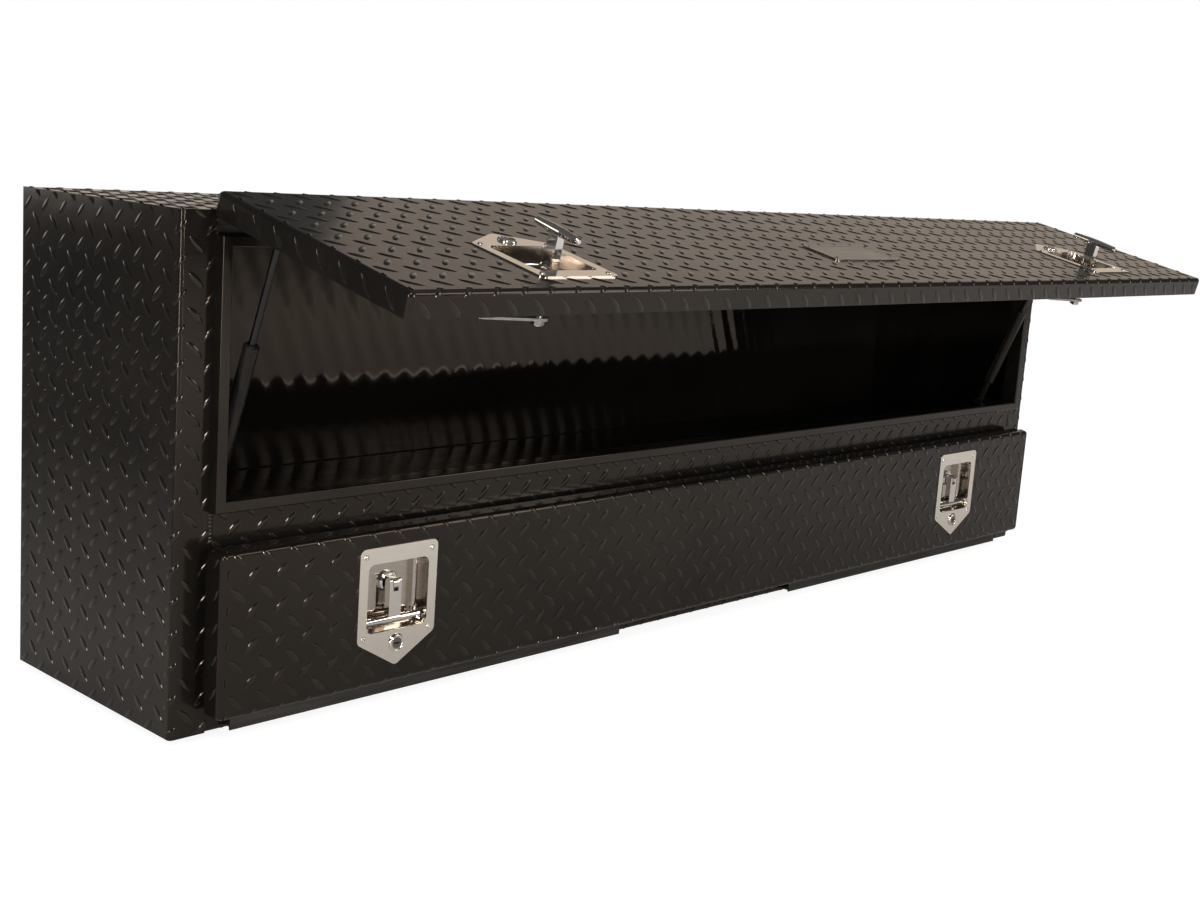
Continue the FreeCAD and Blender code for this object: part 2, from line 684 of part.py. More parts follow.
def latch_cutouts(sketch, hub_inset, hub_level, up):
    """holes for two trays and their locks; up is the way to the free edge"""
    for name, side in SIDES:
        hub_x = "%d * (%s - %s)" % (side, END, hub_inset)
        rectangle(sketch,
                  hub_x + " - Dims.dish_half - " + DISH_GAP,
                  "%s - %d * (Dims.dish_base + %s)" % (hub_level, up, DISH_GAP),
                  hub_x + " + Dims.dish_half + " + DISH_GAP,
                  "%s + %d * (Dims.dish_top + %s)" % (hub_level, up, DISH_GAP))
        circle(sketch, hub_x, "%s - %d * Dims.lock_drop" % (hub_level, up),
               "Dims.barrel + Dims.barrel_fit")


def door_pan(name, frame, low, high, face, edge, hub_inset, hub_level, up):
    """door skin with four folded edges and welded corners"""
    body = new_body(name, frame)
    half = END + " - Dims.door_inset"
    blank = new_sketch(body, "FaceOutline", "XZ_Plane", "-" + face)
    rectangle(blank, "-(%s)" % half, low, half, high)
    block = pad(body, "Block", blank, "Dims.pan_depth", reverse=True)
    corners = fillet(body, "Corners", block, "Dims.pan_corner", is_along_y)
    front = value(face)
    back = value(edge)

    def front_edge(middle, along):
        return near(middle.y, front)

    rounded = fillet(body, "RoundedFace", corners, "Dims.pan_bend", front_edge)

    def back_face(middle):
        return near(middle.y, back)

    hollow(body, "Folded", rounded, "Dims.sheet", back_face)
    holes = new_sketch(body, "Holes", "XZ_Plane", "-%s + Dims.sheet" % face)
    latch_cutouts(holes, hub_inset, hub_level, up)
    pocket(body, "LatchHoles", holes, "3 * Dims.sheet")
    return body


def stiffener(name, frame, face, level, inset):
    """hat section welded inside a door"""
    body = new_body(name, frame)
    skin = "(%s + Dims.sheet)" % face
    wall = "Dims.stiffener_sheet"
    crown = "Dims.stiffener_crown / 2"
    toe = "%s + Dims.stiffener_flange" % crown
    peak = skin + " + Dims.stiffener_rise"
    under = peak + " - " + wall
    flange = skin + " + " + wall
    inside = "(%s - %s)" % (crown, wall)
    corners = [
        (skin, "%s - (%s)" % (level, toe)), (skin, "%s - %s" % (level, inside)),
        (under, "%s - %s" % (level, inside)), (under, "%s + %s" % (level, inside)),
        (skin, "%s + %s" % (level, inside)), (skin, "%s + %s" % (level, toe)),
        (flange, "%s + %s" % (level, toe)), (flange, "%s + %s" % (level, crown)),
        (peak, "%s + %s" % (level, crown)), (peak, "%s - %s" % (level, crown)),
        (flange, "%s - %s" % (level, crown)), (flange, "%s - (%s)" % (level, toe)),
    ]
    half = "%s - %s" % (END, inset)
    section = new_sketch(body, "Section", "YZ_Plane", "-(%s)" % half)
    outline(section, corners)
    folded = pad(body, "Folded", section, "2 * (%s)" % half)
    spots = section_corners(corners, (8, 9), (2, 3))
    bends(body, folded, "Dims.stiffener_sheet * 1.5", "Dims.stiffener_sheet / 2", spots, is_along_x)


def door_seal(name, frame, face, axis_y, axis_z, base, top, proud):
    """rubber ring that the closed door presses against the lip"""
    body = new_body(name, frame)
    skin = "(%s + Dims.sheet)" % face
    lip_face = "(%s - %s - %s)" % (FRONT, proud, axis_y)
    half = END + " - Dims.lip_inset"
    ring = new_sketch(body, "Ring", "XZ_Plane", "-" + skin)
    for inset in ("Dims.seal_inset", "Dims.lip_width"):
        wide = "%s - %s" % (half, inset)
        rectangle(ring, "-(%s)" % wide, "%s - %s + %s" % (base, axis_z, inset),
                  wide, "%s - %s - %s" % (top, axis_z, inset))
    pad(body, "Strip", ring, "%s - %s - Dims.seal_fit" % (lip_face, skin), reverse=True)


def badge_plate():
    """plain plate in the middle of the upper door"""
    body = new_body("badge_plate", UPPER_DOOR)
    level = "(Dims.badge_setback - %s)" % UPPER_DROP
    high = level + " + Dims.badge_height / 2"
    low = level + " - Dims.badge_height / 2"
    blank = new_sketch(body, "Outline", "XZ_Plane", "-" + UPPER_FACE)
    rectangle(blank, "-Dims.badge_width / 2", low, "Dims.badge_width / 2", high)
    plate = pad(body, "Plate", blank, "Dims.badge_rise")
    fillet(body, "Corners", plate, "Dims.badge_corner", is_along_y)
    field = new_sketch(body, "Field", "XZ_Plane", "-%s + Dims.badge_rise" % UPPER_FACE)
    rectangle(field, "-Dims.badge_width / 2 + Dims.badge_border", low + " + Dims.badge_border",
              "Dims.badge_width / 2 - Dims.badge_border", high + " - Dims.badge_border")
    pocket(body, "SunkField", field, "Dims.badge_sink")


def upper_door():
    pan = door_pan("upper_door_pan", UPPER_DOOR, "-" + UPPER_DROP, UPPER_TOP, UPPER_FACE, UPPER_EDGE,
                   "Dims.upper_hub_inset", "-" + UPPER_HUB_DROP, -1)
    relief = new_sketch(pan, "HingeRelief", "XY_Plane", UPPER_TOP + " + Dims.sheet")
    half = UPPER_HINGE_LENGTH + " / 2"
    rectangle(relief, "-(%s)" % half, "-" + BEHIND, half, UPPER_EDGE + " + Dims.sheet")
    pocket(pan, "KnuckleRoom", relief, "3 * Dims.sheet")
    stiffener("upper_door_stiffener", UPPER_DOOR, UPPER_FACE,
              "-Dims.upper_stiffener_drop", "Dims.upper_stiffener_inset")
    door_seal("upper_door_seal", UPPER_DOOR, UPPER_FACE, UPPER_AXIS_Y, UPPER_AXIS_Z,
              "Dims.upper_lip_base", UPPER_LIP_TOP, "Dims.upper_lip_proud")
    badge_plate()


def lower_door():
    door_pan("lower_door_pan", LOWER_DOOR, LOWER_FOOT, LOWER_FOOT + " + Dims.lower_rise",
             LOWER_FACE, LOWER_EDGE, "Dims.lower_hub_inset", "Dims.lower_hub_rise", 1)
    stiffener("lower_door_stiffener", LOWER_DOOR, LOWER_FACE,
              "Dims.lower_stiffener_rise", "Dims.lower_stiffener_inset")
    door_seal("lower_door_seal", LOWER_DOOR, LOWER_FACE, LOWER_AXIS_Y, LOWER_AXIS_Z,
              "Dims.lower_lip_base", "Dims.lower_lip_top", "Dims.lower_lip_proud")


# latches: in their frame +Z points out of the door and +Y to its free edge

def drafted(body, name, kind, sketch, length, reverse=False):
    """pad or pocket whose walls slope in by the draft of the dish"""
    feature = body.newObject("PartDesign::" + kind, name)
    feature.Profile = sketch
    feature.Reversed = reverse
    feature.setExpression("Length", length)
    feature.setExpression("TaperAngle", "-Dims.dish_draft")
    doc.recompute()
    return feature


def latch_tray(name, frame):
    """pressed plate with a pointed end and a drafted dish"""
    body = new_body(name, frame)
    wall = "Dims.tray_sheet"
    block_sketch = new_sketch(body, "DishOutline", "XY_Plane")
    rounded_rectangle(block_sketch, "-Dims.dish_half - " + wall, "-Dims.dish_base - " + wall,
                      "Dims.dish_half + " + wall, "Dims.dish_top + " + wall,
                      "(Dims.dish_corner + %s)" % wall)
    drafted(body, "DishBlock", "Pad", block_sketch, "Dims.dish_depth + " + wall, True)
    boss_sketch = new_sketch(body, "BossOutline", "XY_Plane", "-Dims.dish_depth")
    circle(boss_sketch, "0", "0", "Dims.boss")
    pad(body, "Boss", boss_sketch, "Dims.boss_height + " + wall, reverse=True)
    plate = new_sketch(body, "PlateOutline", "XY_Plane")
    outline(plate, [
        ("-Dims.tray_half", "Dims.tray_top"), ("-Dims.tray_half", "-Dims.tray_shoulder"),
        ("0", "-Dims.tray_tip"), ("Dims.tray_half", "-Dims.tray_shoulder"),
        ("Dims.tray_half", "Dims.tray_top"),
    ])
    flat = pad(body, "Plate", plate, wall)
    half = value("Dims.dish_half + Dims.tray_sheet")
    end = value("-Dims.dish_base - Dims.tray_sheet")

    def plate_corner(middle, along):
        return is_along_z(middle, along) and (abs(middle.x) > half or middle.y < end)

    fillet(body, "PlateCorners", flat, "Dims.tray_corner", plate_corner)
    room_sketch = new_sketch(body, "RoomOutline", "XY_Plane", wall)
    rounded_rectangle(room_sketch, "-Dims.dish_half", "-Dims.dish_base", "Dims.dish_half",
                      "Dims.dish_top", "Dims.dish_corner")
    room = drafted(body, "Room", "Pocket", room_sketch, "Dims.dish_depth + " + wall)
    inner_floor = value("-Dims.dish_depth")
    outer_floor = value("-Dims.dish_depth - Dims.tray_sheet")
    boss_reach = value("Dims.boss + Dims.tray_sheet + Dims.boss_height")

    def inner_floor_edge(middle, along):
        return near(middle.z, inner_floor)

    room = fillet(body, "RoomFloor", room, "Dims.dish_floor_round", inner_floor_edge)

    def outer_floor_edge(middle, along):
        return near(middle.z, outer_floor) and math.hypot(middle.x, middle.y) > boss_reach

    chamfer(body, "DishFloor", room, "Dims.dish_floor_round / 2 + " + wall, outer_floor_edge)
    holes = new_sketch(body, "HoleOutlines", "XY_Plane", "2 * Dims.tray_sheet")
    circle(holes, "0", "0", "Dims.shaft + Dims.shaft_fit")
    circle(holes, "0", "-Dims.lock_drop", "Dims.barrel + Dims.barrel_fit / 2")
    pocket(body, "Holes", holes)
    return body


def latch_spindle(name, frame, arm_level):
    """hub, tongue with cross pin, shaft, square and threaded end in one forging"""
    body = new_body(name, frame)
    seat = "-Dims.dish_depth + Dims.shaft_fit"
    hub_top = seat + " + Dims.hub_height"
    square_end = arm_level + " - Dims.arm_thickness"
    turned = new_sketch(body, "TurnedOutline", "XZ_Plane")
    outline(turned, [
        ("0", hub_top), ("Dims.hub", hub_top), ("Dims.hub", seat),
        ("Dims.shaft", seat), ("Dims.shaft", arm_level), ("0", arm_level),
    ])
    turned_feature = revolve(body, "Turned", turned)
    rim = value(hub_top)

    def hub_rim(middle, along):
        return near(middle.z, rim)

    chamfer(body, "HubRim", turned_feature, "Dims.hub_height / 3", hub_rim)
    tongue = new_sketch(body, "TongueOutline", "XY_Plane", seat)
    rectangle(tongue, "-Dims.tongue_half", "-Dims.tongue_round",
              "Dims.tongue_half", "Dims.tongue_round")
    tongue_top = "-Dims.pivot_depth + Dims.tongue_round"
    blade = pad(body, "Tongue", tongue, "%s - (%s)" % (tongue_top, seat))
    peak = value(tongue_top)

    def tongue_end(middle, along):
        return is_along_x(middle, along) and near(middle.z, peak)

    fillet(body, "TongueEnd", blade, "Dims.tongue_round - Dims.pin_fit", tongue_end)
    cross = new_sketch(body, "PinOutline", "YZ_Plane", "-Dims.stem_half")
    circle(cross, "0", "-Dims.pivot_depth", "Dims.pivot_pin")
    pad(body, "CrossPin", cross, "2 * Dims.stem_half")
    square = new_sketch(body, "SquareOutline", "XY_Plane", arm_level)
    rectangle(square, "-Dims.square_half", "-Dims.square_half",
              "Dims.square_half", "Dims.square_half")
    pad(body, "Square", square, "Dims.arm_thickness", reverse=True)
    thread = new_sketch(body, "ThreadOutline", "XY_Plane", square_end)
    circle(thread, "0", "0", "Dims.thread")
    pad(body, "Thread", thread, "Dims.thread_length", reverse=True)
    return body


def cam_arm(name, frame, arm_level, reach):
    """flat arm on the square end of the shaft, held by a nut"""
    arm = doc.addObject("PartDesign::Body", "Arm")
    arm.setExpression("Placement", frame)
    blank = new_sketch(arm, "Outline", "XY_Plane", arm_level)
    rectangle(blank, "-Dims.arm_half", "-Dims.arm_half", "Dims.arm_half", reach)
    plate = pad(arm, "Plate", blank, "Dims.arm_thickness", reverse=True)
    fillet(arm, "RoundedEnds", plate, "Dims.arm_half * 0.8", is_along_z)
    hole = new_sketch(arm, "SquareHole", "XY_Plane", arm_level + " + Dims.arm_thickness")
    half = "(Dims.square_half + Dims.square_fit)"
    rectangle(hole, "-" + half, "-" + half, half, half)
    pocket(arm, "Square", hole)
    nut = doc.addObject("PartDesign::Body", "Nut")
    nut.setExpression("Placement", frame)
    across = "(Dims.nut / cos(30))"
    flats = new_sketch(nut, "Hexagon", "XY_Plane", arm_level + " - Dims.arm_thickness")
    hexagon(flats, across)
    circle(flats, "0", "0", "Dims.thread + Dims.square_fit")
    pad(nut, "Flats", flats, "Dims.nut_height", reverse=True)
    group(name, [arm, nut])


def hexagon(sketch, across):
    corners = []
    for index in range(6):
        angle = 60 * index
        corners.append(("%s * cos(%d)" % (across, angle), "%s * sin(%d)" % (across, angle)))
    outline(sketch, corners)


def latch_handle(name, frame):
    """T-handle: a forked stem on the cross pin and a bowed grip"""
    body = new_body(name, frame)
    front = new_sketch(body, "StemOutline", "XZ_Plane", "-Dims.stem_depth / 2")
    rectangle(front, "-Dims.stem_half", "-Dims.tongue_round", "Dims.stem_half", "Dims.grip_reach")
    stem = pad(body, "Stem", front, "Dims.stem_depth")
    foot = value("-Dims.tongue_round")

    def stem_foot(middle, along):
        return is_along_x(middle, along) and near(middle.z, foot)

    fillet(body, "StemFoot", stem, "Dims.stem_depth / 2 - Dims.pin_fit", stem_foot)
    fork = new_sketch(body, "ForkOutline", "XZ_Plane", "Dims.stem_depth")
    gap = "(Dims.tongue_half + Dims.shaft_fit)"
    rectangle(fork, "-" + gap, "-Dims.tongue_round - Dims.fork_reach", gap, "Dims.fork_reach")
    pocket(body, "Fork", fork)
    hole = new_sketch(body, "HoleOutline", "YZ_Plane", "2 * Dims.stem_half")
    circle(hole, "0", "0", "Dims.pivot_pin + Dims.pin_fit")
    pocket(body, "PinHole", hole)
    grip = new_sketch(body, "GripSection", "XZ_Plane")
    end = "(Dims.grip - Dims.grip_taper)"
    edge = "(Dims.grip_half - Dims.grip_round)"
    outline(grip, [
        ("-Dims.grip_half", "Dims.grip_reach"),
        ("-Dims.grip_half", "Dims.grip_reach + %s - Dims.grip_round" % end),
        ("-" + edge, "Dims.grip_reach + " + end),
        ("-Dims.stem_half", "Dims.grip_reach + Dims.grip"),
        ("Dims.stem_half", "Dims.grip_reach + Dims.grip"),
        (edge, "Dims.grip_reach + " + end),
        ("Dims.grip_half", "Dims.grip_reach + %s - Dims.grip_round" % end),
        ("Dims.grip_half", "Dims.grip_reach"),
    ])
    revolve(body, "Grip", grip, axis="Edge8")
    return body


def lock_housing(name, frame):
    """lock barrel with its bezel and the nut behind the door skin"""
    body = new_body(name, frame)
    seat = "Dims.tray_sheet"
    top = seat + " + Dims.bezel_rise"
    nut_top = "-Dims.sheet"
    nut_base = nut_top + " - Dims.lock_nut_height"
    bore = "Dims.plug + Dims.plug_fit"
    ring = new_sketch(body, "TurnedOutline", "XZ_Plane")
    outline(ring, [
        (bore, top), ("Dims.bezel", top), ("Dims.bezel", seat), ("Dims.barrel", seat),
        ("Dims.barrel", nut_top), ("Dims.lock_nut", nut_top), ("Dims.lock_nut", nut_base),
        ("Dims.barrel", nut_base), ("Dims.barrel", "-Dims.barrel_depth"),
        (bore, "-Dims.barrel_depth"),
    ])
    turned = revolve(body, "Turned", ring)
    rim = value(top)
    outer = value("Dims.bezel")

    def bezel_edge(middle, along):
        return near(middle.z, rim) and near(abs(middle.x) + abs(middle.y), outer)

    chamfer(body, "BezelEdge", turned, "Dims.bezel_rise * 0.7", bezel_edge)
    return body


def lock_plug(name, frame):
    """turning plug with a keyway in front and a tail behind"""
    body = new_body(name, frame)
    top = "Dims.tray_sheet + Dims.bezel_rise"
    base = "-Dims.barrel_depth - Dims.shaft_fit"
    face = new_sketch(body, "PlugOutline", "XY_Plane", base)
    circle(face, "0", "0", "Dims.plug")
    pad(body, "Plug", face, "%s - (%s)" % (top, base))
    slot = new_sketch(body, "KeywayOutline", "XY_Plane", top)
    rectangle(slot, "-Dims.keyway_reach", "-Dims.keyway_half",
              "Dims.keyway_reach", "Dims.keyway_half")
    pocket(body, "Keyway", slot, "Dims.keyway_depth")
    tail = new_sketch(body, "TailOutline", "XY_Plane", base)
    rectangle(tail, "-Dims.tail_reach", "-Dims.tail_half", "Dims.tail_half", "Dims.tail_half")
    pad(body, "Tail", tail, "Dims.tail_thickness", reverse=True)
    return body


def latch(name, door, hub_x, hub_level, face, facing, stand_off, reach, spindle, clock, fold):
    """one folding T-handle latch and its lock on a door"""
    place = door + " * " + shift(hub_x, face, hub_level) + " * " + facing
    arm_level = "-(%s + Dims.pan_depth + Dims.sill_depth + Dims.arm_gap)" % stand_off
    turned = place + " * " + turn(ABOUT_Z, spindle)
    lock = place + " * " + shift(0, "-Dims.lock_drop", 0)
    latch_tray(name + "_latch_tray", place)
    latch_spindle(name + "_latch_spindle", turned, arm_level)
    cam_arm(name + "_cam_arm", turned + " * " + turn(ABOUT_Z, clock), arm_level, reach)
    pivot = turned + " * " + shift(0, 0, "-Dims.pivot_depth") + " * " + turn(ABOUT_X, fold)
    latch_handle(name + "_t_handle", pivot)
    lock_housing(name + "_lock_housing", lock)
    lock_plug(name + "_lock_plug", lock)


def latches():
    # the upper door's free edge is below its hinge, the lower door's above
    upper_facing = turn("0; 1; -1", "180")
    lower_facing = turn(ABOUT_X, "90")
    upper_reach = ("%s - %s - Dims.sill_base - Dims.sill_height + Dims.arm_overlap"
                   % (UPPER_AXIS_Z, UPPER_HUB_DROP))
    lower_reach = ("Dims.sill_base - %s - Dims.lower_hub_rise + Dims.arm_overlap"
                   % LOWER_AXIS_Z)
    for name, side in SIDES:
        upper_x = "%d * (%s - Dims.upper_hub_inset)" % (side, END)
        latch("upper_" + name, UPPER_DOOR, upper_x, "-" + UPPER_HUB_DROP, UPPER_FACE,
              upper_facing, "Dims.upper_gap", upper_reach, "-Dims.turned_angle", "0", "0")
    for name, side in SIDES:
        lower_x = "%d * (%s - Dims.lower_hub_inset)" % (side, END)
        latch("lower_" + name, LOWER_DOOR, lower_x, "Dims.lower_hub_rise", LOWER_FACE,
              lower_facing, "(Dims.packer + Dims.leaf)", lower_reach, "0",
              "Dims.clocked_angle", "90")


# gas struts: in their frame +Z runs from the foot to the head

HEAD_Y = "(%s + Dims.sheet + Dims.strut_head_stand)" % UPPER_FACE
OPEN_HEAD_Y = ("(%s + %s * cos(Dims.open_angle) - Dims.strut_head_drop * sin(Dims.open_angle))"
               % (UPPER_AXIS_Y, HEAD_Y))
OPEN_HEAD_Z = ("(%s - %s * sin(Dims.open_angle) - Dims.strut_head_drop * cos(Dims.open_angle))"
               % (UPPER_AXIS_Z, HEAD_Y))
FOOT_Y = "(%s + Dims.strut_foot_depth)" % FRONT
STRUT_RUN = "(%s - %s)" % (FOOT_Y, OPEN_HEAD_Y)
FOOT_Z = "(%s - Dims.strut_foot_drop)" % UPPER_AXIS_Z
STRUT_LIFT = "(%s - %s)" % (OPEN_HEAD_Z, FOOT_Z)
STRUT_LENGTH = "sqrt(%s ^ 2 + %s ^ 2)" % (STRUT_RUN, STRUT_LIFT)
STRUT_LEAN = "atan2(%s; %s)" % (STRUT_RUN, STRUT_LIFT)


def ball_stud(body, base_start):
    """ball at the origin, its neck and its hexagon towards -X"""
    turned = new_sketch(body, "TurnedOutline", "XZ_Plane")
    neck = "Dims.ball_neck"
    joint_x = "-sqrt(Dims.ball ^ 2 - Dims.ball_neck ^ 2)"
    ring = Part.Circle(FreeCAD.Vector(0, 0, 0), FreeCAD.Vector(0, 0, 1), value("Dims.ball"))
    meeting = math.atan2(value(neck), value(joint_x))
    arc = turned.addGeometry(Part.ArcOfCircle(ring, 0, meeting))
    points = [turned.getPoint(arc, 2)]
    for x, y in (("-(%s)" % base_start, neck), ("-(%s)" % base_start, "0"), ("Dims.ball", "0")):
        points.append(FreeCAD.Vector(value(x), value(y), 0))
    lines = [turned.addGeometry(Part.LineSegment(points[i], points[i + 1])) for i in range(3)]
    turned.addConstraint(Sketcher.Constraint("Coincident", arc, 2, lines[0], 1))
    turned.addConstraint(Sketcher.Constraint("Coincident", lines[0], 2, lines[1], 1))
    turned.addConstraint(Sketcher.Constraint("Coincident", lines[1], 2, lines[2], 1))
    turned.addConstraint(Sketcher.Constraint("Coincident", lines[2], 2, arc, 1))
    turned.addConstraint(Sketcher.Constraint("Coincident", arc, 3, -1, 1))
    turned.addConstraint(Sketcher.Constraint("Horizontal", lines[0]))
    turned.addConstraint(Sketcher.Constraint("Vertical", lines[1]))
    turned.addConstraint(Sketcher.Constraint("Horizontal", lines[2]))
    bind(turned, "Radius", "radius", arc, expression="Dims.ball")
    bind(turned, "DistanceX", "neck_end", -1, 1, lines[1], 2, expression="-(%s)" % base_start)
    bind(turned, "DistanceY", "axis_level", -1, 1, lines[1], 2, expression="0")
    bind(turned, "DistanceY", "neck_top", -1, 1, lines[1], 1, expression=neck)
    revolve(body, "Turned", turned, axis="H_Axis")
    flats = new_sketch(body, "HexagonSection", "YZ_Plane", "-(%s)" % base_start)
    hexagon(flats, "(Dims.stud_base / cos(30))")
    pad(body, "Hexagon", flats, "Dims.stud_base_height", reverse=True)


PLATE_TO_BALL = "(Dims.stud_base_height + Dims.socket_cover + Dims.ball_neck * 2)"


def ball_socket(body):
    """round socket at the origin, open towards -X, its seat bored with a coned floor"""
    drum = new_sketch(body, "SocketSection", "YZ_Plane", "-Dims.socket_cover")
    circle(drum, "0", "0", "Dims.socket")
    pad(body, "Socket", drum, "Dims.socket_cover + Dims.socket_back")
    seat = new_sketch(body, "SeatSection", "XZ_Plane")
    bore = "(Dims.ball + Dims.ball_fit)"
    outline(seat, [
        ("-Dims.socket_cover - Dims.ball_fit", "0"), ("-Dims.socket_cover - Dims.ball_fit", bore),
        ("Dims.ball_neck", bore), (bore, "Dims.ball_neck"), (bore, "0"),
    ])
    before = body.Shape.Volume
    groove = body.newObject("PartDesign::Groove", "Seat")
    groove.Profile = seat
    groove.ReferenceAxis = (seat, ["H_Axis"])
    groove.Angle = 360
    doc.recompute()
    if groove.Shape.Volume >= before:
        raise ValueError("the seat cuts nothing from " + body.Label)


def strut_tube(name, frame):
    """pressure tube with its foot; the foot's socket sits on the lower ball"""
    body = new_body(name, frame)
    end = "(Dims.tube_start + Dims.tube_length)"
    bore = "(Dims.tube - Dims.tube_wall)"
    gland = "(Dims.rod + Dims.rod_fit)"
    roll = "Dims.tube_chamfer"
    wall = new_sketch(body, "TurnedOutline", "XZ_Plane")
    outline(wall, [
        ("0", "Dims.ball"), ("Dims.foot_neck", "Dims.ball"),
        ("Dims.foot_neck", "Dims.tube_start"), ("Dims.tube - " + roll, "Dims.tube_start"),
        ("Dims.tube", "Dims.tube_start + " + roll), ("Dims.tube", end + " - " + roll),
        ("Dims.tube - " + roll, end), (gland, end), (gland, end + " - Dims.tube_cap"),
        (bore, end + " - Dims.tube_cap"), (bore, "Dims.tube_start + Dims.tube_cap"),
        ("0", "Dims.tube_start + Dims.tube_cap"),
    ])
    revolve(body, "Turned", wall)
    ball_socket(body)
    return body


def strut_rod(name, frame):
    """piston rod with its piston"""
    body = new_body(name, frame)
    gland = "Dims.tube_start + Dims.tube_length - Dims.tube_cap - Dims.piston_rest"
    base = gland + " - Dims.piston_height"
    piston = "Dims.tube - Dims.tube_wall - Dims.piston_fit"
    top = "%s - Dims.socket" % STRUT_LENGTH
    section = new_sketch(body, "TurnedOutline", "XZ_Plane")
    outline(section, [
        ("0", base), (piston, base), (piston, gland), ("Dims.rod", gland),
        ("Dims.rod", top), ("0", top),
    ])
    revolve(body, "Turned", section)
    return body


def strut_head(name, frame):
    """head socket screwed on the rod, with the ball stud that it holds"""
    socket = doc.addObject("PartDesign::Body", "HeadSocket")
    socket.setExpression("Placement", frame)
    shank = new_sketch(socket, "ShankSection", "XY_Plane", "-2 * Dims.socket")
    circle(shank, "0", "0", "Dims.rod * 1.5")
    pad(socket, "Shank", shank, "Dims.socket * 1.5")
    bore = new_sketch(socket, "BoreSection", "XY_Plane", "-Dims.socket")
    circle(bore, "0", "0", "Dims.rod")
    pocket(socket, "Bore", bore)
    ball_socket(socket)
    stud = doc.addObject("PartDesign::Body", "HeadStud")
    stud.setExpression("Placement", frame)
    ball_stud(stud, PLATE_TO_BALL + " - Dims.stud_base_height - Dims.stud_gap")
    group(name, [socket, stud])


def strut_bracket(name, frame, height):
    """angle bracket: a plate towards -X beside the stud, on a welded foot"""
    body = new_body(name, frame)
    wall = "Dims.bracket_sheet"
    foot = "(Dims.bracket_foot - Dims.bracket_sheet)"
    corners = [
        ("-" + wall, "0"), ("-" + wall, height), ("0", height), ("0", wall), (foot, wall),
        (foot, "0"),
    ]
    section = new_sketch(body, "Section", "XZ_Plane", "-Dims.bracket_half")
    outline(section, corners)
    folded = pad(body, "Folded", section, "2 * Dims.bracket_half")
    bend_x = value("-" + wall)

    def outer_bend(middle, along):
        return is_along_y(middle, along) and near(middle.z, 0) and near(middle.x, bend_x)

    folded = fillet(body, "OuterBend", folded, "Dims.bracket_bend", outer_bend)

    def inner_bend(middle, along):
        return is_along_y(middle, along) and near(middle.z, value(wall)) and near(middle.x, 0)

    folded = fillet(body, "InnerBend", folded, "Dims.bracket_bend - " + wall, inner_bend)
    peak = value(height)

    def plate_corner(middle, along):
        return is_along_x(middle, along) and near(middle.z, peak)

    fillet(body, "RoundedEnd", folded, "Dims.bracket_round", plate_corner)
    return body


def gas_struts():
    for name, side in SIDES:
        facing = turn(ABOUT_Z, "0" if side < 0 else "180")
        strut_x = "%d * (%s - Dims.strut_inset)" % (side, END)
        foot = shift(strut_x, FOOT_Y, FOOT_Z)
        frame = foot + " * " + turn(ABOUT_X, STRUT_LEAN)
        strut_tube(name + "_strut_tube", frame + " * " + facing)
        strut_rod(name + "_strut_rod", frame + " * " + facing)
        head = frame + " * " + shift(0, 0, STRUT_LENGTH) + " * " + facing
        strut_head(name + "_strut_head", head)
        stud = new_body(name + "_strut_ball_stud", foot + " * " + facing)
        ball_stud(stud, PLATE_TO_BALL + " - Dims.stud_base_height")
        plate_x = "%s + %d * %s" % (strut_x, side, PLATE_TO_BALL)
        shelf = shift(plate_x, FOOT_Y, "Dims.shelf_level") + " * " + facing
        strut_bracket(name + "_strut_bracket", shelf,
                      FOOT_Z + " - Dims.shelf_level + Dims.bracket_over")
        skin = "%s + Dims.sheet" % UPPER_FACE
        door_place = (UPPER_DOOR + " * " + shift(plate_x, skin, "-Dims.strut_head_drop")
                      + " * " + turn(ABOUT_X, "-90") + " * " + facing)
        strut_bracket(name + "_strut_door_bracket", door_place,
                      "Dims.strut_head_stand + Dims.stud_base")


wrap_shell()
for side_name, side_sign in SIDES:
    end_panel(side_name + "_end_panel", side_sign)
mid_shelf()
sill_rail()
opening_lip("upper_opening_lip", "Dims.upper_lip_base", UPPER_LIP_TOP,
            "Dims.upper_lip_proud")
opening_lip("lower_opening_lip", "Dims.lower_lip_base", "Dims.lower_lip_top",
            "Dims.lower_lip_proud")
upper_hinge()
lower_hinges()
upper_door()
lower_door()
latches()
gas_struts()
doc.recompute()

for item in doc.Objects:
    if "Invalid" in item.State or "Error" in item.State:
        raise ValueError("%s failed in %s" % (item.Label, item.Name))
for item in SUBPARTS:
    if item.Shape.isNull() or not item.Shape.isValid() or not item.Shape.Solids:
        raise ValueError("%s has no sound shape" % item.Label)

os.makedirs("parts", exist_ok=True)
for item in SUBPARTS:
    item.Shape.exportStep("parts/%s.step" % item.Label)
print("%d sub-parts written" % len(SUBPARTS))
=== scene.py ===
import json
import math

import bmesh
import bpy
from mathutils import Matrix, Vector


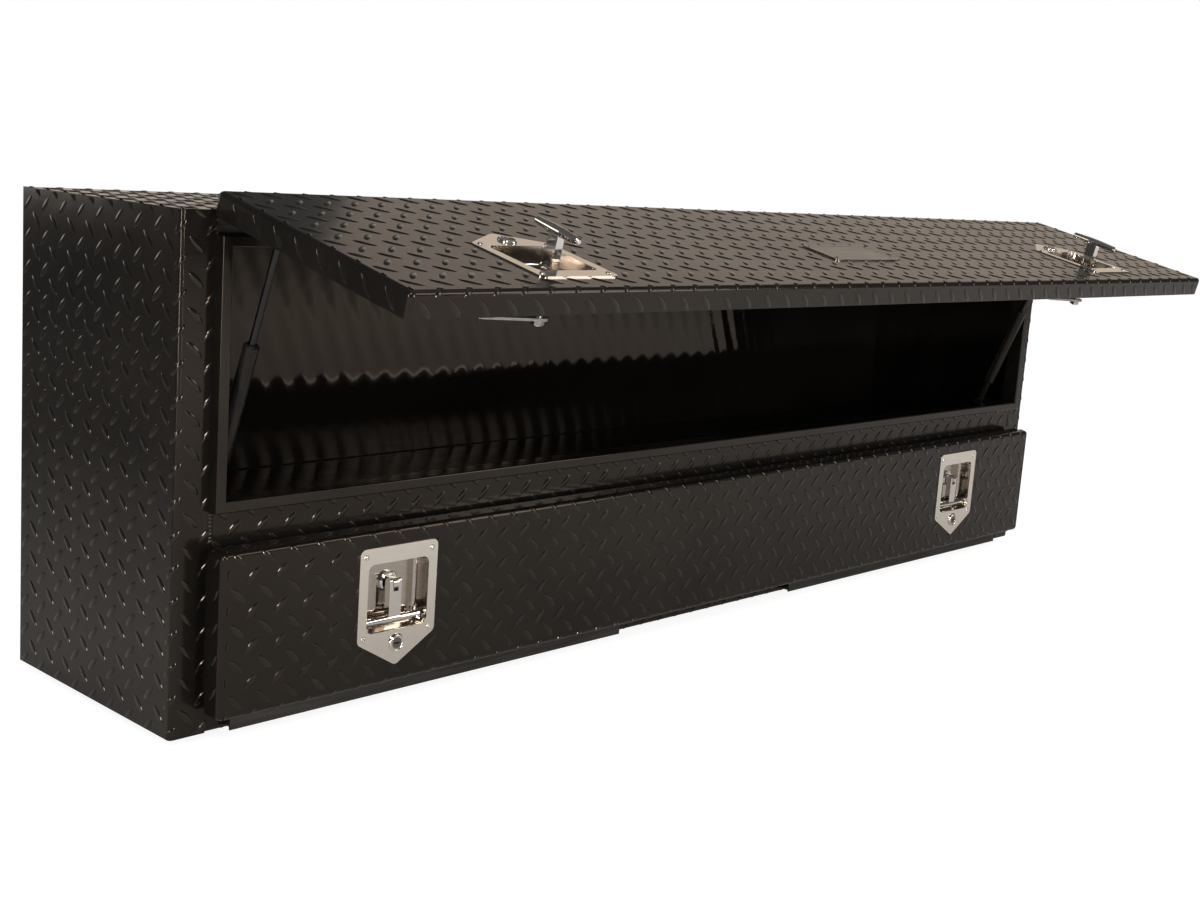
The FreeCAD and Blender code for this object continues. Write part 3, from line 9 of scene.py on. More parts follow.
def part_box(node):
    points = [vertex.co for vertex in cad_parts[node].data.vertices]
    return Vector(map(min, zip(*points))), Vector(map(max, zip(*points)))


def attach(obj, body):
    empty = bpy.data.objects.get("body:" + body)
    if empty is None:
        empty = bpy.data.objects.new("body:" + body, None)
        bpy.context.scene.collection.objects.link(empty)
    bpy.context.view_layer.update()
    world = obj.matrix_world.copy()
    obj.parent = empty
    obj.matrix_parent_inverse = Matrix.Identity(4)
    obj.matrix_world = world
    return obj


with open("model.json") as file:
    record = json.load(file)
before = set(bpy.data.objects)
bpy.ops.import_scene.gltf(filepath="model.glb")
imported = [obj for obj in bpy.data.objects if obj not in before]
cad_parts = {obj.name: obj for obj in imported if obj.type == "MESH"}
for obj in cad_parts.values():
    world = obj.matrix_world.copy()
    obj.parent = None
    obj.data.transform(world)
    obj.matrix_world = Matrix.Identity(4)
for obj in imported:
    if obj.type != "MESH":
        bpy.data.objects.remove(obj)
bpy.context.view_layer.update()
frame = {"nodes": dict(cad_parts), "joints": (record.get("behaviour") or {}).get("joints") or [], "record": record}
MM = 0.001
X = Vector((1, 0, 0))
Y = Vector((0, 1, 0))
Z = Vector((0, 0, 1))
SIDES = (("left", -1), ("right", 1))


# the cabinet and its doors, in metres, as the frame has them

def box_of(name):
    """lowest and highest corner of a CAD node, to a thousandth of a millimetre"""
    return [[round(value, 6) for value in corner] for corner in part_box(name)]


def hinge_of(name):
    """where a hinge's axis is, and how far it turns"""
    found = next(joint for joint in frame["joints"] if joint["name"] == name)
    return Vector(found["pos_m"]), math.radians(found["range_deg"][1])


(STILE_EDGE, FRONT, UNDERSIDE), (END, BACK, HEIGHT) = box_of("right_end_panel")
SHELF_TOP = box_of("mid_shelf")[1][2]
UPPER_AXIS, OPEN_ANGLE = hinge_of("upper_door_hinge")
LOWER_AXIS = hinge_of("lower_door_hinge")[0]

# folded sheet of the cabinet
SHEET = 3 * MM
WELD_GAP = 0.2 * MM
CABINET_BEND = 5 * MM
HEADER = 30 * MM
BOTTOM_RAIL = 44 * MM
SILL_FACE = (200 * MM, 256 * MM)

# folded sheet of a door, in the door's own frame, where Y points into the cabinet
DOOR_INSET = 36 * MM
DOOR_EDGE = 2 * MM
DOOR_DEPTH = 28 * MM
DOOR_FACE = DOOR_EDGE - DOOR_DEPTH
DOOR_BEND = 6 * MM
DOOR_CORNER = 7 * MM

# latch plates and the badge
PLATE_SHEET = 1.5 * MM
SCREW_ACROSS = 50 * MM
SCREW_ROWS = (40 * MM, -60 * MM)
LOCK_DROP = 72 * MM
BADGE_LEVEL = -203 * MM
BADGE_HALF = (74 * MM, 32 * MM)
BADGE_RISE = 2 * MM
BADGE_SINK = 0.8 * MM
BADGE_BORDER = 4.4 * MM
RIVET_INSET = 8 * MM

# lays what is drawn flat, with Z up from it, against the outside of an upright sheet
FACING = Matrix.Rotation(math.pi / 2, 4, "X")


class Door:
    """a door in its own frame: X along the cabinet, Y into it, Z up from the hinge axis

    low and high are its ends in Z. Its latches stand hub_inset from the ends of the cabinet
    and at hub_level, upright where way is 1 and upside down where it is -1. The tread
    pattern starts at start."""

    def __init__(self, name, place, low, high, hub_inset, hub_level, way, start):
        self.name = name
        self.place = place
        self.low = low
        self.high = high
        self.hub_inset = hub_inset
        self.hub_level = hub_level
        self.way = way
        self.start = start

    def latch(self, sign):
        """a latch's frame: X across its plate, Y to the plate's square end, Z out of the door"""
        spot = Vector((sign * (END - self.hub_inset), DOOR_FACE, self.hub_level))
        spin = Matrix.Rotation(0 if self.way > 0 else math.pi, 4, "Z")
        return self.place @ Matrix.Translation(spot) @ FACING @ spin


UPPER = Door("upper_door", Matrix.Translation(UPPER_AXIS) @ Matrix.Rotation(-OPEN_ANGLE, 4, "X"),
             low=-330 * MM, high=1 * MM, hub_inset=297 * MM, hub_level=-244 * MM, way=-1,
             start=(0, 10 * MM))
LOWER = Door("lower_door", Matrix.Translation(LOWER_AXIS),
             low=4.3 * MM, high=195.8 * MM, hub_inset=281 * MM, hub_level=125.5 * MM, way=1,
             start=(0, 4 * MM))


# shader helpers

class Wire:
    """a shader socket that takes part in sums"""

    def __init__(self, tree, socket):
        self.tree = tree
        self.socket = socket

    def maths(self, operation, a, b):
        """a Math node on two values or wires"""
        return self.tree.node("ShaderNodeMath", {"operation": operation}, {0: a, 1: b})

    def __add__(self, other):
        return self.maths("ADD", self, other)

    def __radd__(self, other):
        return self.maths("ADD", other, self)

    def __sub__(self, other):
        return self.maths("SUBTRACT", self, other)

    def __rsub__(self, other):
        return self.maths("SUBTRACT", other, self)

    def __mul__(self, other):
        return self.maths("MULTIPLY", self, other)

    def __rmul__(self, other):
        return self.maths("MULTIPLY", other, self)

    def between(self, low, high):
        """0 to 1 spread from low to high"""
        return self * (high - low) + low


class Tree:
    """a node tree, and the one method that adds nodes to it"""

    def __init__(self, tree):
        self.nodes = tree.nodes
        self.links = tree.links

    def node(self, kind, settings=None, inputs=None, output=0):
        made = self.nodes.new(kind)
        for name, setting in (settings or {}).items():
            if name == "stops":
                ramp = made.color_ramp
                while len(ramp.elements) < len(setting):
                    ramp.elements.new(0.5)
                for element, (place, colour) in zip(ramp.elements, setting):
                    element.position = place
                    element.color = colour
            else:
                setattr(made, name, setting)
        for name, amount in (inputs or {}).items():
            if isinstance(amount, Wire):
                self.links.new(amount.socket, made.inputs[name])
            else:
                made.inputs[name].default_value = amount
        return Wire(self, made.outputs[output])

    def place(self):
        """where a point is on the object, in metres"""
        return self.node("ShaderNodeTexCoord", output="Object")

    def noise(self, scale, detail, stretch=None):
        where = self.place()
        if stretch:
            where = self.node("ShaderNodeMapping", None, {"Vector": where, "Scale": stretch})
        return self.node("ShaderNodeTexNoise", None,
                         {"Vector": where, "Scale": scale, "Detail": detail}, output="Fac")

    def ramp(self, factor, low, high, start=0.3, end=0.7):
        """a colour that goes from low to high as factor goes from start to end"""
        return self.node("ShaderNodeValToRGB",
                         {"stops": [(start, (*low, 1.0)), (end, (*high, 1.0))]}, {"Fac": factor})

    def bump(self, height, distance, strength, under=None):
        """a surface pushed out by height, over the bump that lies under it"""
        inputs = {"Height": height, "Distance": distance, "Strength": strength}
        if under is not None:
            inputs["Normal"] = under
        return self.node("ShaderNodeBump", None, inputs)

    def surface(self, wire):
        """what the tree's output shows"""
        end = next(node for node in self.nodes if node.type.startswith("OUTPUT"))
        self.links.new(wire.socket, end.inputs["Surface"])


class Finish(Tree):
    """one material and the nodes behind its Principled shader"""

    def __init__(self, name, **fixed):
        self.material = bpy.data.materials.new(name)
        self.material.use_nodes = True
        super().__init__(self.material.node_tree)
        self.shader = self.nodes["Principled BSDF"]
        for socket, amount in fixed.items():
            self.shader.inputs[socket.replace("_", " ")].default_value = amount

    def into(self, socket, wire):
        self.links.new(wire.socket, self.shader.inputs[socket])


# finishes

# the black coat throws light back a little brown
WARM = (1.0, 0.82, 0.68, 1.0)


def black_coat():
    """gloss black powder coat on tread plate"""
    coat = Finish("black_coat", IOR=1.38, Specular_Tint=WARM, Coat_IOR=1.5, Coat_Roughness=0.05)
    grime = coat.noise(9.0, 4.0)
    coat.into("Base Color", coat.ramp(grime, (0.0045, 0.004, 0.0035), (0.0085, 0.0075, 0.0065),
                                      end=0.75))
    haze = coat.noise(3.2, 2.0)
    coat.into("Roughness", haze.between(0.12, 0.22))
    coat.into("Coat Weight", coat.noise(5.0, 2.0).between(0.02, 0.14))
    peel = coat.noise(520.0, 2.0)
    waves = coat.noise(26.0, 1.0)
    skin = coat.bump(peel, 0.00008, 0.25)
    coat.into("Normal", coat.bump(waves, 0.0008, 0.3, skin))
    return coat.material


def black_lug():
    """the raised lugs, a little smoother where the coat runs thin over them"""
    coat = Finish("black_lug", IOR=1.42, Specular_Tint=WARM, Coat_IOR=1.5, Coat_Roughness=0.04)
    worn = coat.noise(40.0, 2.0)
    coat.into("Base Color", coat.ramp(worn, (0.005, 0.0045, 0.004), (0.010, 0.009, 0.008),
                                      start=0.35))
    coat.into("Roughness", worn.between(0.1, 0.19))
    coat.into("Coat Weight", coat.noise(11.0, 1.0).between(0.1, 0.3))
    coat.into("Normal", coat.bump(coat.noise(600.0, 2.0), 0.00008, 0.25))
    return coat.material


def black_bar():
    """smooth folded sheet and bar under the same coat"""
    coat = Finish("black_bar", IOR=1.4, Specular_Tint=WARM, Coat_IOR=1.5, Coat_Roughness=0.04)
    grime = coat.noise(14.0, 3.0)
    coat.into("Base Color", coat.ramp(grime, (0.0045, 0.004, 0.0035), (0.008, 0.007, 0.006)))
    coat.into("Roughness", grime.between(0.1, 0.18))
    coat.into("Coat Weight", coat.noise(6.0, 2.0).between(0.05, 0.2))
    coat.into("Normal", coat.bump(coat.noise(60.0, 2.0), 0.0004, 0.3))
    return coat.material


def black_inside():
    """smooth side of the tread plate, as seen in the open compartment"""
    coat = Finish("black_inside", IOR=1.42, Specular_Tint=WARM, Coat_IOR=1.5, Coat_Roughness=0.05)
    haze = coat.noise(4.0, 3.0)
    coat.into("Base Color", coat.ramp(haze, (0.0035, 0.003, 0.0027), (0.006, 0.0053, 0.0047)))
    coat.into("Roughness", haze.between(0.04, 0.08))
    coat.into("Normal", coat.bump(coat.noise(400.0, 2.0), 0.00005, 0.2))
    return coat.material


def shelf_coat():
    """the shelf's top, scuffed dull by what has lain on it"""
    coat = Finish("shelf_coat", IOR=1.3, Specular_Tint=WARM)
    scuff = coat.noise(60.0, 4.0, (0.3, 1.0, 1.0))
    coat.into("Base Color", coat.ramp(scuff, (0.004, 0.0036, 0.0032), (0.008, 0.007, 0.0062)))
    coat.into("Roughness", scuff.between(0.3, 0.5))
    coat.into("Normal", coat.bump(scuff, 0.0001, 0.3))
    return coat.material


def stainless(name, low, high, roughness, stretch):
    """brushed or rolled steel with a fine directional grain"""
    steel = Finish(name, Metallic=1.0)
    grain = steel.noise(90.0, 4.0, stretch)
    smudge = steel.noise(24.0, 2.0)
    steel.into("Base Color", steel.ramp(grain, low, high))
    steel.into("Roughness", grain.between(roughness, roughness * 1.5) + smudge * (0.35 * roughness))
    steel.into("Normal", steel.bump(grain, 0.00006, 0.25))
    return steel.material


# how far under the face of a latch plate the painted shade of its dish starts, and where it is at its darkest
DISH_SHADE_START = 1.2 * MM
DISH_SHADE_FULL = 6 * MM


def tray_steel(name, door):
    """polished sheet of a door's latch trays: a pale plate, painted darker down in the dish as shade in the recess
    """
    steel = Finish(name, Metallic=1.0)
    inward = door.place.to_3x3() @ Y
    face = (door.place @ Vector((0, DOOR_FACE - PLATE_SHEET, 0))).dot(inward)
    depth = steel.node("ShaderNodeVectorMath", {"operation": "DOT_PRODUCT"},
                       {0: steel.place(), 1: inward}, output="Value")
    # painted shade: the dish's colour darkens with depth below the plate's face, in place of the shade in the
    # recess
    dish_shade = steel.node("ShaderNodeMapRange", None, {"Value": depth, "From Min": face + DISH_SHADE_START,
                                                   "From Max": face + DISH_SHADE_FULL})
    grain = steel.noise(90.0, 4.0, (1, 1, 6))
    plate_tone = steel.ramp(grain, (0.88, 0.82, 0.745), (0.94, 0.885, 0.815))
    dish_shaded_tone = steel.ramp(grain, (0.47, 0.43, 0.39), (0.57, 0.525, 0.48))
    steel.into("Base Color", steel.node("ShaderNodeMix", {"data_type": "RGBA"},
                                        {0: dish_shade, 6: plate_tone, 7: dish_shaded_tone}, output=2))
    smudge = steel.noise(24.0, 2.0)
    steel.into("Roughness", grain.between(0.08, 0.12) + smudge * 0.03)
    steel.into("Normal", steel.bump(grain, 0.00005, 0.2))
    return steel.material


def chrome(name, shade, roughness):
    """plated or ground metal, as bright as its shade"""
    plating = Finish(name, Metallic=1.0)
    film = plating.noise(35.0, 3.0)
    plating.into("Base Color", plating.ramp(film, (shade * 0.93, shade * 0.9, shade * 0.86),
                                            (shade, shade * 0.97, shade * 0.93)))
    plating.into("Roughness", film.between(roughness, roughness * 2.2))
    plating.into("Normal", plating.bump(plating.noise(220.0, 2.0), 0.00003, 0.2))
    return plating.material


def sponge_rubber():
    """closed-cell sponge of the door seals"""
    foam = Finish("sponge_rubber", IOR=1.45)
    cells = foam.noise(900.0, 2.0)
    foam.into("Base Color", foam.ramp(cells, (0.006, 0.006, 0.006), (0.018, 0.018, 0.017)))
    foam.into("Roughness", cells.between(0.75, 0.95))
    foam.into("Normal", foam.bump(cells, 0.0004, 0.6))
    return foam.material


def strut_black():
    """satin paint of the gas struts"""
    satin = Finish("strut_black", IOR=1.33, Specular_Tint=WARM)
    film = satin.noise(60.0, 3.0, (1.0, 1.0, 0.2))
    satin.into("Base Color", satin.ramp(film, (0.006, 0.006, 0.006), (0.014, 0.0135, 0.013)))
    satin.into("Roughness", film.between(0.14, 0.24))
    satin.into("Normal", satin.bump(film, 0.0001, 0.2))
    return satin.material


def studio_floor():
    """white sweep that stays white to the camera but keeps a soft shadow"""
    sweep = Finish("studio_floor", Base_Color=(0.92, 0.92, 0.92, 1.0), Roughness=0.9)
    glow = sweep.node("ShaderNodeEmission", None, {"Color": (1, 1, 1, 1), "Strength": 1.27})
    dark = sweep.node("ShaderNodeEmission", None, {"Strength": 0.0})
    to_camera = sweep.node("ShaderNodeLightPath", output="Is Camera Ray")
    in_gloss = sweep.node("ShaderNodeLightPath", output="Is Glossy Ray")
    across = sweep.node("ShaderNodeSeparateXYZ", None, {0: sweep.place()}, output="X")
    into = sweep.node("ShaderNodeSeparateXYZ", None, {0: sweep.place()}, output="Y")
    # the gloss sees a darker floor behind and left of the cabinet
    rear_left = sweep.node("ShaderNodeMapRange", None,
                           {"Value": into - across, "From Min": 1.3, "From Max": 3.2,
                            "To Min": 0.3, "To Max": 0.8})
    lit = Wire(sweep, sweep.shader.outputs[0])
    veil = sweep.node("ShaderNodeMixShader", None, {0: 1 - in_gloss * rear_left, 1: dark, 2: lit})
    shown = sweep.node("ShaderNodeMixShader", None, {0: to_camera * 0.7, 1: veil, 2: glow})
    sweep.surface(shown)
    return sweep.material


def studio_room():
    """white to the camera, a plain fill on the object, and a dim room in its gloss"""
    world = bpy.data.worlds.new("studio")
    bpy.context.scene.world = world
    world.use_nodes = True
    room = Tree(world.node_tree)
    in_gloss = room.node("ShaderNodeLightPath", output="Is Glossy Ray")
    to_camera = room.node("ShaderNodeLightPath", output="Is Camera Ray")
    through = room.node("ShaderNodeLightPath", output="Is Transmission Ray")
    fill = in_gloss.between(0.45, 0.09)
    seen = room.node("ShaderNodeMath", {"operation": "MAXIMUM"}, {0: to_camera, 1: through})
    level = room.node("ShaderNodeMath", {"operation": "MAXIMUM"}, {0: seen, 1: fill})
    room.surface(room.node("ShaderNodeBackground", None,
                           {"Color": (1, 1, 1, 1), "Strength": level}))


COAT = black_coat()
LUG = black_lug()
BAR = black_bar()
UPPER_TRAY = tray_steel("upper_tray_steel", UPPER)
LOWER_TRAY = tray_steel("lower_tray_steel", LOWER)
HINGE_STEEL = stainless("hinge_steel", (0.05, 0.048, 0.045), (0.09, 0.088, 0.084), 0.3, (0.1, 3, 3))
ARM_STEEL = stainless("zinc_steel", (0.3, 0.29, 0.27), (0.44, 0.43, 0.41), 0.24, (1, 4, 4))
BADGE_STEEL = stainless("badge_steel", (0.34, 0.31, 0.28), (0.46, 0.42, 0.38), 0.2, (0.2, 6, 6))
BADGE_FIELD = stainless("badge_field", (0.5, 0.465, 0.43), (0.68, 0.64, 0.59), 0.34, (0.2, 6, 6))
HANDLE_CHROME = chrome("handle_chrome", 0.82, 0.05)
LOCK_CHROME = chrome("lock_chrome", 0.86, 0.07)
LOCK_FACE = stainless("lock_face", (0.15, 0.14, 0.13), (0.24, 0.23, 0.21), 0.22, (4, 4, 1))
ROD_STEEL = chrome("rod_steel", 0.05, 0.14)
RUBBER = sponge_rubber()
INSIDE = black_inside()
SHELF = shelf_coat()
STRUT = strut_black()

SLOT_FINISH = {
    "black_plate": COAT, "black_bar": BAR, "hinge_steel": HINGE_STEEL, "seal_rubber": RUBBER,
    "badge_metal": BADGE_STEEL, "latch_steel": LOWER_TRAY, "latch_chrome": HANDLE_CHROME,
    "zinc_steel": ARM_STEEL, "lock_chrome": LOCK_CHROME, "lock_face": LOCK_FACE,
    "strut_black": STRUT, "strut_rod_steel": ROD_STEEL, "strut_fitting": STRUT,
}
OWN_FINISH = {
    "upper_opening_lip": BAR, "lower_opening_lip": BAR, "mid_shelf": SHELF,
    "upper_left_latch_tray": UPPER_TRAY, "upper_right_latch_tray": UPPER_TRAY,
}
NODE_SLOT = {part["node"]: part["material_slot"] for part in frame["record"]["subparts"]}


def dress_nodes():
    """every CAD node gets its slot's finish, and a few their own"""
    for name, thing in frame["nodes"].items():
        thing.data.materials.clear()
        thing.data.materials.append(OWN_FINISH.get(name, SLOT_FINISH[NODE_SLOT[name]]))


# mesh helpers

def finished(name, mesh, material, body, smooth=True):
    """mesh data to a piece that rides on a body"""
    data = bpy.data.meshes.new(name)
    mesh.to_mesh(data)
    mesh.free()
    if smooth:
        data.shade_smooth()
    piece = bpy.data.objects.new(name, data)
    bpy.context.collection.objects.link(piece)
    data.materials.append(material)
    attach(piece, body)


def bridge(mesh, loops):
    """walls from each closed loop to the next"""
    count = len(loops[0])
    for lower, upper in zip(loops, loops[1:]):
        for index in range(count):
            after = (index + 1) % count
            mesh.faces.new((lower[index], lower[after], upper[after], upper[index]))


def close_ends(mesh, loops):
    """a flat face on the last loop and one under the first"""
    mesh.faces.new(loops[-1])
    mesh.faces.new(list(reversed(loops[0])))


def in_mm(*pairs):
    return [(first * MM, second * MM) for first, second in pairs]


# tread pattern of the plate, along a fold and across it
PITCH_ALONG = 37.3 * MM
PITCH_ACROSS = 41 * MM
LUG_LENGTH = 27 * MM
LUG_WIDTH = 8 * MM
LUG_RISE = 1.15 * MM
# sections of a lug, in half lengths, and the outline of one, in half widths and rises
LUG_STATIONS = (-0.72, -0.26, 0.26, 0.72)
LUG_SECTION = ((-1.0, 0.0), (-0.78, 0.66), (-0.32, 1.0), (0.32, 1.0), (0.78, 0.66), (1.0, 0.0))
LUG_ROUNDNESS = 0.7
LUG_FALL = 0.6
# a lug is cut off at the edge of a field, if its centre is no further out than this share of a length
LUG_OVERHANG = 0.3
# bare strip between two fields
FIELD_GAP = 1 * MM


def add_lug(mesh, centre, lean):
    """one lens-shaped lug, in plate coordinates and a height"""
    cos, sin = math.cos(lean), math.sin(lean)

    def corner(along, across, rise):
        return mesh.verts.new((centre[0] + along * cos - across * sin,
                               centre[1] + along * sin + across * cos, rise))

    tips = [corner(-LUG_LENGTH / 2, 0, 0), corner(LUG_LENGTH / 2, 0, 0)]
    rows = []
    for station in LUG_STATIONS:
        half = LUG_WIDTH / 2 * (1 - station * station) ** LUG_ROUNDNESS
        top = LUG_RISE * (1 - LUG_FALL * station * station)
        rows.append([corner(station * LUG_LENGTH / 2, side * half, rise * top)
                     for side, rise in LUG_SECTION])
    for first, second in zip(rows, rows[1:]):
        for index in range(len(LUG_SECTION) - 1):
            mesh.faces.new((first[index], second[index], second[index + 1], first[index + 1]))
    for index in range(len(LUG_SECTION) - 1):
        mesh.faces.new((tips[0], rows[0][index], rows[0][index + 1]))
        mesh.faces.new((rows[-1][index + 1], rows[-1][index], tips[1]))
    # a crisp line where a flank meets the rounded top
    for index in (1, len(LUG_SECTION) - 2):
        line = [tips[0]] + [row[index] for row in rows] + [tips[1]]
        for start, end in zip(line, line[1:]):
            mesh.edges.get((start, end)).smooth = False


def shear(mesh, axis, level, side):
    """cut the field off along an edge of the sheet"""
    spot = Vector((0, 0, 0))
    spot[axis] = level
    away = Vector((0, 0, 0))
    away[axis] = side
    everything = mesh.verts[:] + mesh.edges[:] + mesh.faces[:]
    bmesh.ops.bisect_plane(mesh, geom=everything, plane_co=spot, plane_no=away,
                           clear_outer=True)


def tread(name, body, width, run, lay, start, skip=()):
    """a field of lugs over plate coordinates, u over width and v over run

    lay turns plate coordinates and a height into a place. start shifts the pattern, and no
    lug has its centre in a rectangle of skip."""
    mesh = bmesh.new()
    half_u = PITCH_ALONG / 2
    half_v = PITCH_ACROSS / 2
    reach = LUG_OVERHANG * LUG_LENGTH
    first_u = math.floor((width[0] - reach - start[0]) / half_u)
    last_u = math.ceil((width[1] + reach - start[0]) / half_u)
    first_v = math.floor((run[0] - reach - start[1]) / half_v)
    last_v = math.ceil((run[1] + reach - start[1]) / half_v)
    for i in range(first_u, last_u + 1):
        for j in range(first_v, last_v + 1):
            u = i * half_u + start[0]
            v = j * half_v + start[1]
            near_u = width[0] - reach < u < width[1] + reach
            near_v = run[0] - reach < v < run[1] + reach
            if (i + j) % 2 or not near_u or not near_v:
                continue
            if any(a < u < b and c < v < d for a, b, c, d in skip):
                continue
            add_lug(mesh, (u, v), math.radians(45 if i % 2 else -45))
    for axis, (low, high) in enumerate((width, run)):
        shear(mesh, axis, low, -1)
        shear(mesh, axis, high, 1)
    for vertex in mesh.verts:
        vertex.co = lay(*vertex.co)
    finished(name, mesh, LUG, body)


def folded(corners, bend, across, place=Matrix.Identity(4)):
    """lay function for a sheet folded along a section of (p, q) corners, and its length

    v runs along the outside of the section, u along the fold, and across turns (u, p, q)
    into a point. The outside is on the left of travel."""
    steps = []
    points = [Vector(corner) for corner in corners]
    count = len(points)
    trims = [0.0] * count
    turns = [0.0] * count
    for index in range(1, count - 1):
        one = (points[index] - points[index - 1]).normalized()
        two = (points[index + 1] - points[index]).normalized()
        turns[index] = math.atan2(one.x * two.y - one.y * two.x, one.dot(two))
        trims[index] = bend * math.tan(abs(turns[index]) / 2)
    length = 0.0
    for index in range(count - 1):
        way = points[index + 1] - points[index]
        straight = way.length - trims[index] - trims[index + 1]
        way.normalize()
        start = points[index] + way * trims[index]
        steps.append((length, straight, start, way, 0.0))
        length += straight
        if index + 1 < count - 1:
            turn = turns[index + 1]
            arc = bend * abs(turn)
            steps.append((length, arc, start + way * straight, way, turn))
            length += arc

    def lay(u, v, rise):
        v = min(max(v, 0.0), length)
        begin, _, start, way, turn = next(
            (step for step in steps if v <= step[0] + step[1]), steps[-1])
        out = Vector((-way.y, way.x))
        if turn:
            side = math.copysign(1, turn)
            centre = start + out * (bend * side)
            spin = Matrix.Rotation((v - begin) / bend * side, 2)
            spot = centre + spin @ (start - centre)
            out = spin @ out
        else:
            spot = start + way * (v - begin)
        spot = spot + out * rise
        return place @ Vector(across(u, spot.x, spot.y))

    return lay, length


def flat(origin, u_axis, v_axis):
    """lay function for a flat plate; its outside is u cross v"""
    out = u_axis.cross(v_axis)

    def lay(u, v, rise):
        return origin + u_axis * u + v_axis * v + out * rise

    return lay


def flip(lay):
    """the same sheet with its rise the other way"""
    def other(u, v, rise):
        return lay(u, v, -rise)

    return other


# tread fields

FRONT_START = (0, 8 * MM)
END_START = (6 * MM, 5 * MM)
EDGE_START = (4 * MM, 12 * MM)
# bare strip at the top and the foot of an end panel
END_BARE = 1.5 * MM
# the tread stops this far from a latch's hub, where the latch plate hides it
HIDDEN_ACROSS = 52 * MM
HIDDEN_ABOVE = 44 * MM
HIDDEN_BELOW = 92 * MM


def cabinet_tread():
    """wrap, bottom rail, end panels and sill"""
    half = END - SHEET - WELD_GAP
    opening = STILE_EDGE - WELD_GAP
    # header, top, back, floor and bottom rail in one fold
    section = [(FRONT, HEIGHT - HEADER), (FRONT, HEIGHT), (BACK, HEIGHT), (BACK, UNDERSIDE),
               (FRONT, UNDERSIDE), (FRONT, BOTTOM_RAIL)]
    lay, length = folded(section, CABINET_BEND, lambda u, p, q: (u, p, q))
    # the front flanges only run between the stiles
    rail_start = length - (BOTTOM_RAIL - CABINET_BEND)
    tread("tread_cabinet_wrap", "cabinet", (-half, half), (HEADER - CABINET_BEND, rail_start), lay,
          FRONT_START)
    tread("tread_bottom_rail", "cabinet", (-opening, opening), (rail_start + FIELD_GAP, length), lay,
          FRONT_START)
    for side, sign in SIDES:
        section = [(sign * STILE_EDGE, FRONT), (sign * END, FRONT), (sign * END, BACK)]
        lay, length = folded(section, CABINET_BEND, lambda u, p, q: (p, q, u))
        if sign > 0:
            lay = flip(lay)
        tread("tread_end_" + side, "cabinet", (END_BARE, HEIGHT - END_BARE), (0.0, length), lay,
              END_START)
    sill = flat(Vector((0, FRONT, 0)), X, Z)
    tread("tread_sill", "cabinet", (-opening, opening), SILL_FACE, sill, FRONT_START)


def door_tread(door):
    """face and folded edges of a door"""
    half = END - DOOR_INSET
    section = [(DOOR_EDGE, door.low), (DOOR_FACE, door.low), (DOOR_FACE, door.high),
               (DOOR_EDGE, door.high)]
    lay, length = folded(section, DOOR_BEND, lambda u, p, q: (u, p, q), door.place)
    # where the face would start if the bend before it had no radius
    face_start = DOOR_DEPTH - 2 * DOOR_BEND * (1 - math.pi / 4)
    hidden = sorted(level - door.low + face_start
                    for level in (door.hub_level + door.way * HIDDEN_ABOVE,
                                  door.hub_level - door.way * HIDDEN_BELOW))
    skip = [(hub - HIDDEN_ACROSS, hub + HIDDEN_ACROSS, *hidden)
            for hub in (door.hub_inset - END, END - door.hub_inset)]
    tread("tread_" + door.name, door.name, (DOOR_CORNER - half, half - DOOR_CORNER), (0.0, length),
          lay, door.start, skip)
    turn = door.place.to_3x3()
    for side, sign in SIDES:
        edge = flat(door.place @ Vector((sign * half, DOOR_EDGE, 0)), turn @ (Z * sign), turn @ -Y)
        width = sorted((sign * (door.low + DOOR_CORNER), sign * (door.high - DOOR_CORNER)))
        tread("tread_%s_%s_edge" % (door.name, side), door.name, width,
              (FIELD_GAP, DOOR_DEPTH - DOOR_BEND), edge, EDGE_START)


# small fasteners, from (radius, height) rings in millimetres

RIVET = in_mm((2.6, 0), (2.5, 0.5), (2.0, 1.0), (1.1, 1.35), (0.3, 1.45))
SCREW = in_mm((3.4, 0), (3.3, 0.5), (2.7, 1.1), (1.7, 1.5), (1.5, 1.5), (1.2, 0.9), (0.2, 0.85))
COLLAR = in_mm((11.3, 1.2), (11.1, 3.0), (10.3, 4.2), (9.3, 4.5), (8.3, 4.0), (7.8, 3.0), (7.6, 1.4))
BEAD = in_mm((3.2, 0), (2.9, 0.6), (2.0, 1.2), (0.8, 1.5))
BEAD_STEP = 4.6 * MM
BEAD_RUNS = in_mm((221, 251), (558, 578))


def turned(mesh, place, rings, sides=20, hoop=False):
    """a round piece from its rings, with two flat ends or closed into a hoop"""
    loops = []
    for radius, height in rings:
        angles = [2 * math.pi * index / sides for index in range(sides)]
        loops.append([mesh.verts.new(place @ Vector((radius * math.cos(angle),
                                                     radius * math.sin(angle), height)))
                      for angle in angles])
    if hoop:
        bridge(mesh, loops + loops[:1])
    else:
        bridge(mesh, loops)
        close_ends(mesh, loops)


def latch_screws():
    """four screws in the corners of each latch plate"""
    for door, level in ((UPPER, "upper"), (LOWER, "lower")):
        for side, sign in SIDES:
            mesh = bmesh.new()
            for row in SCREW_ROWS:
                for across in (-SCREW_ACROSS, SCREW_ACROSS):
                    spot = Matrix.Translation(Vector((across, row, PLATE_SHEET)))
                    turned(mesh, door.latch(sign) @ spot, SCREW)
            finished("latch_screws_%s_%s" % (level, side), mesh, HANDLE_CHROME, door.name)


def lock_collars():
    """domed ring pressed round the face of each lock"""
    for door, level in ((UPPER, "upper"), (LOWER, "lower")):
        for side, sign in SIDES:
            mesh = bmesh.new()
            face = Matrix.Translation(Vector((0, -LOCK_DROP, 0)))
            turned(mesh, door.latch(sign) @ face, COLLAR, sides=36, hoop=True)
            finished("lock_collar_%s_%s" % (level, side), mesh, LOCK_CHROME, door.name)


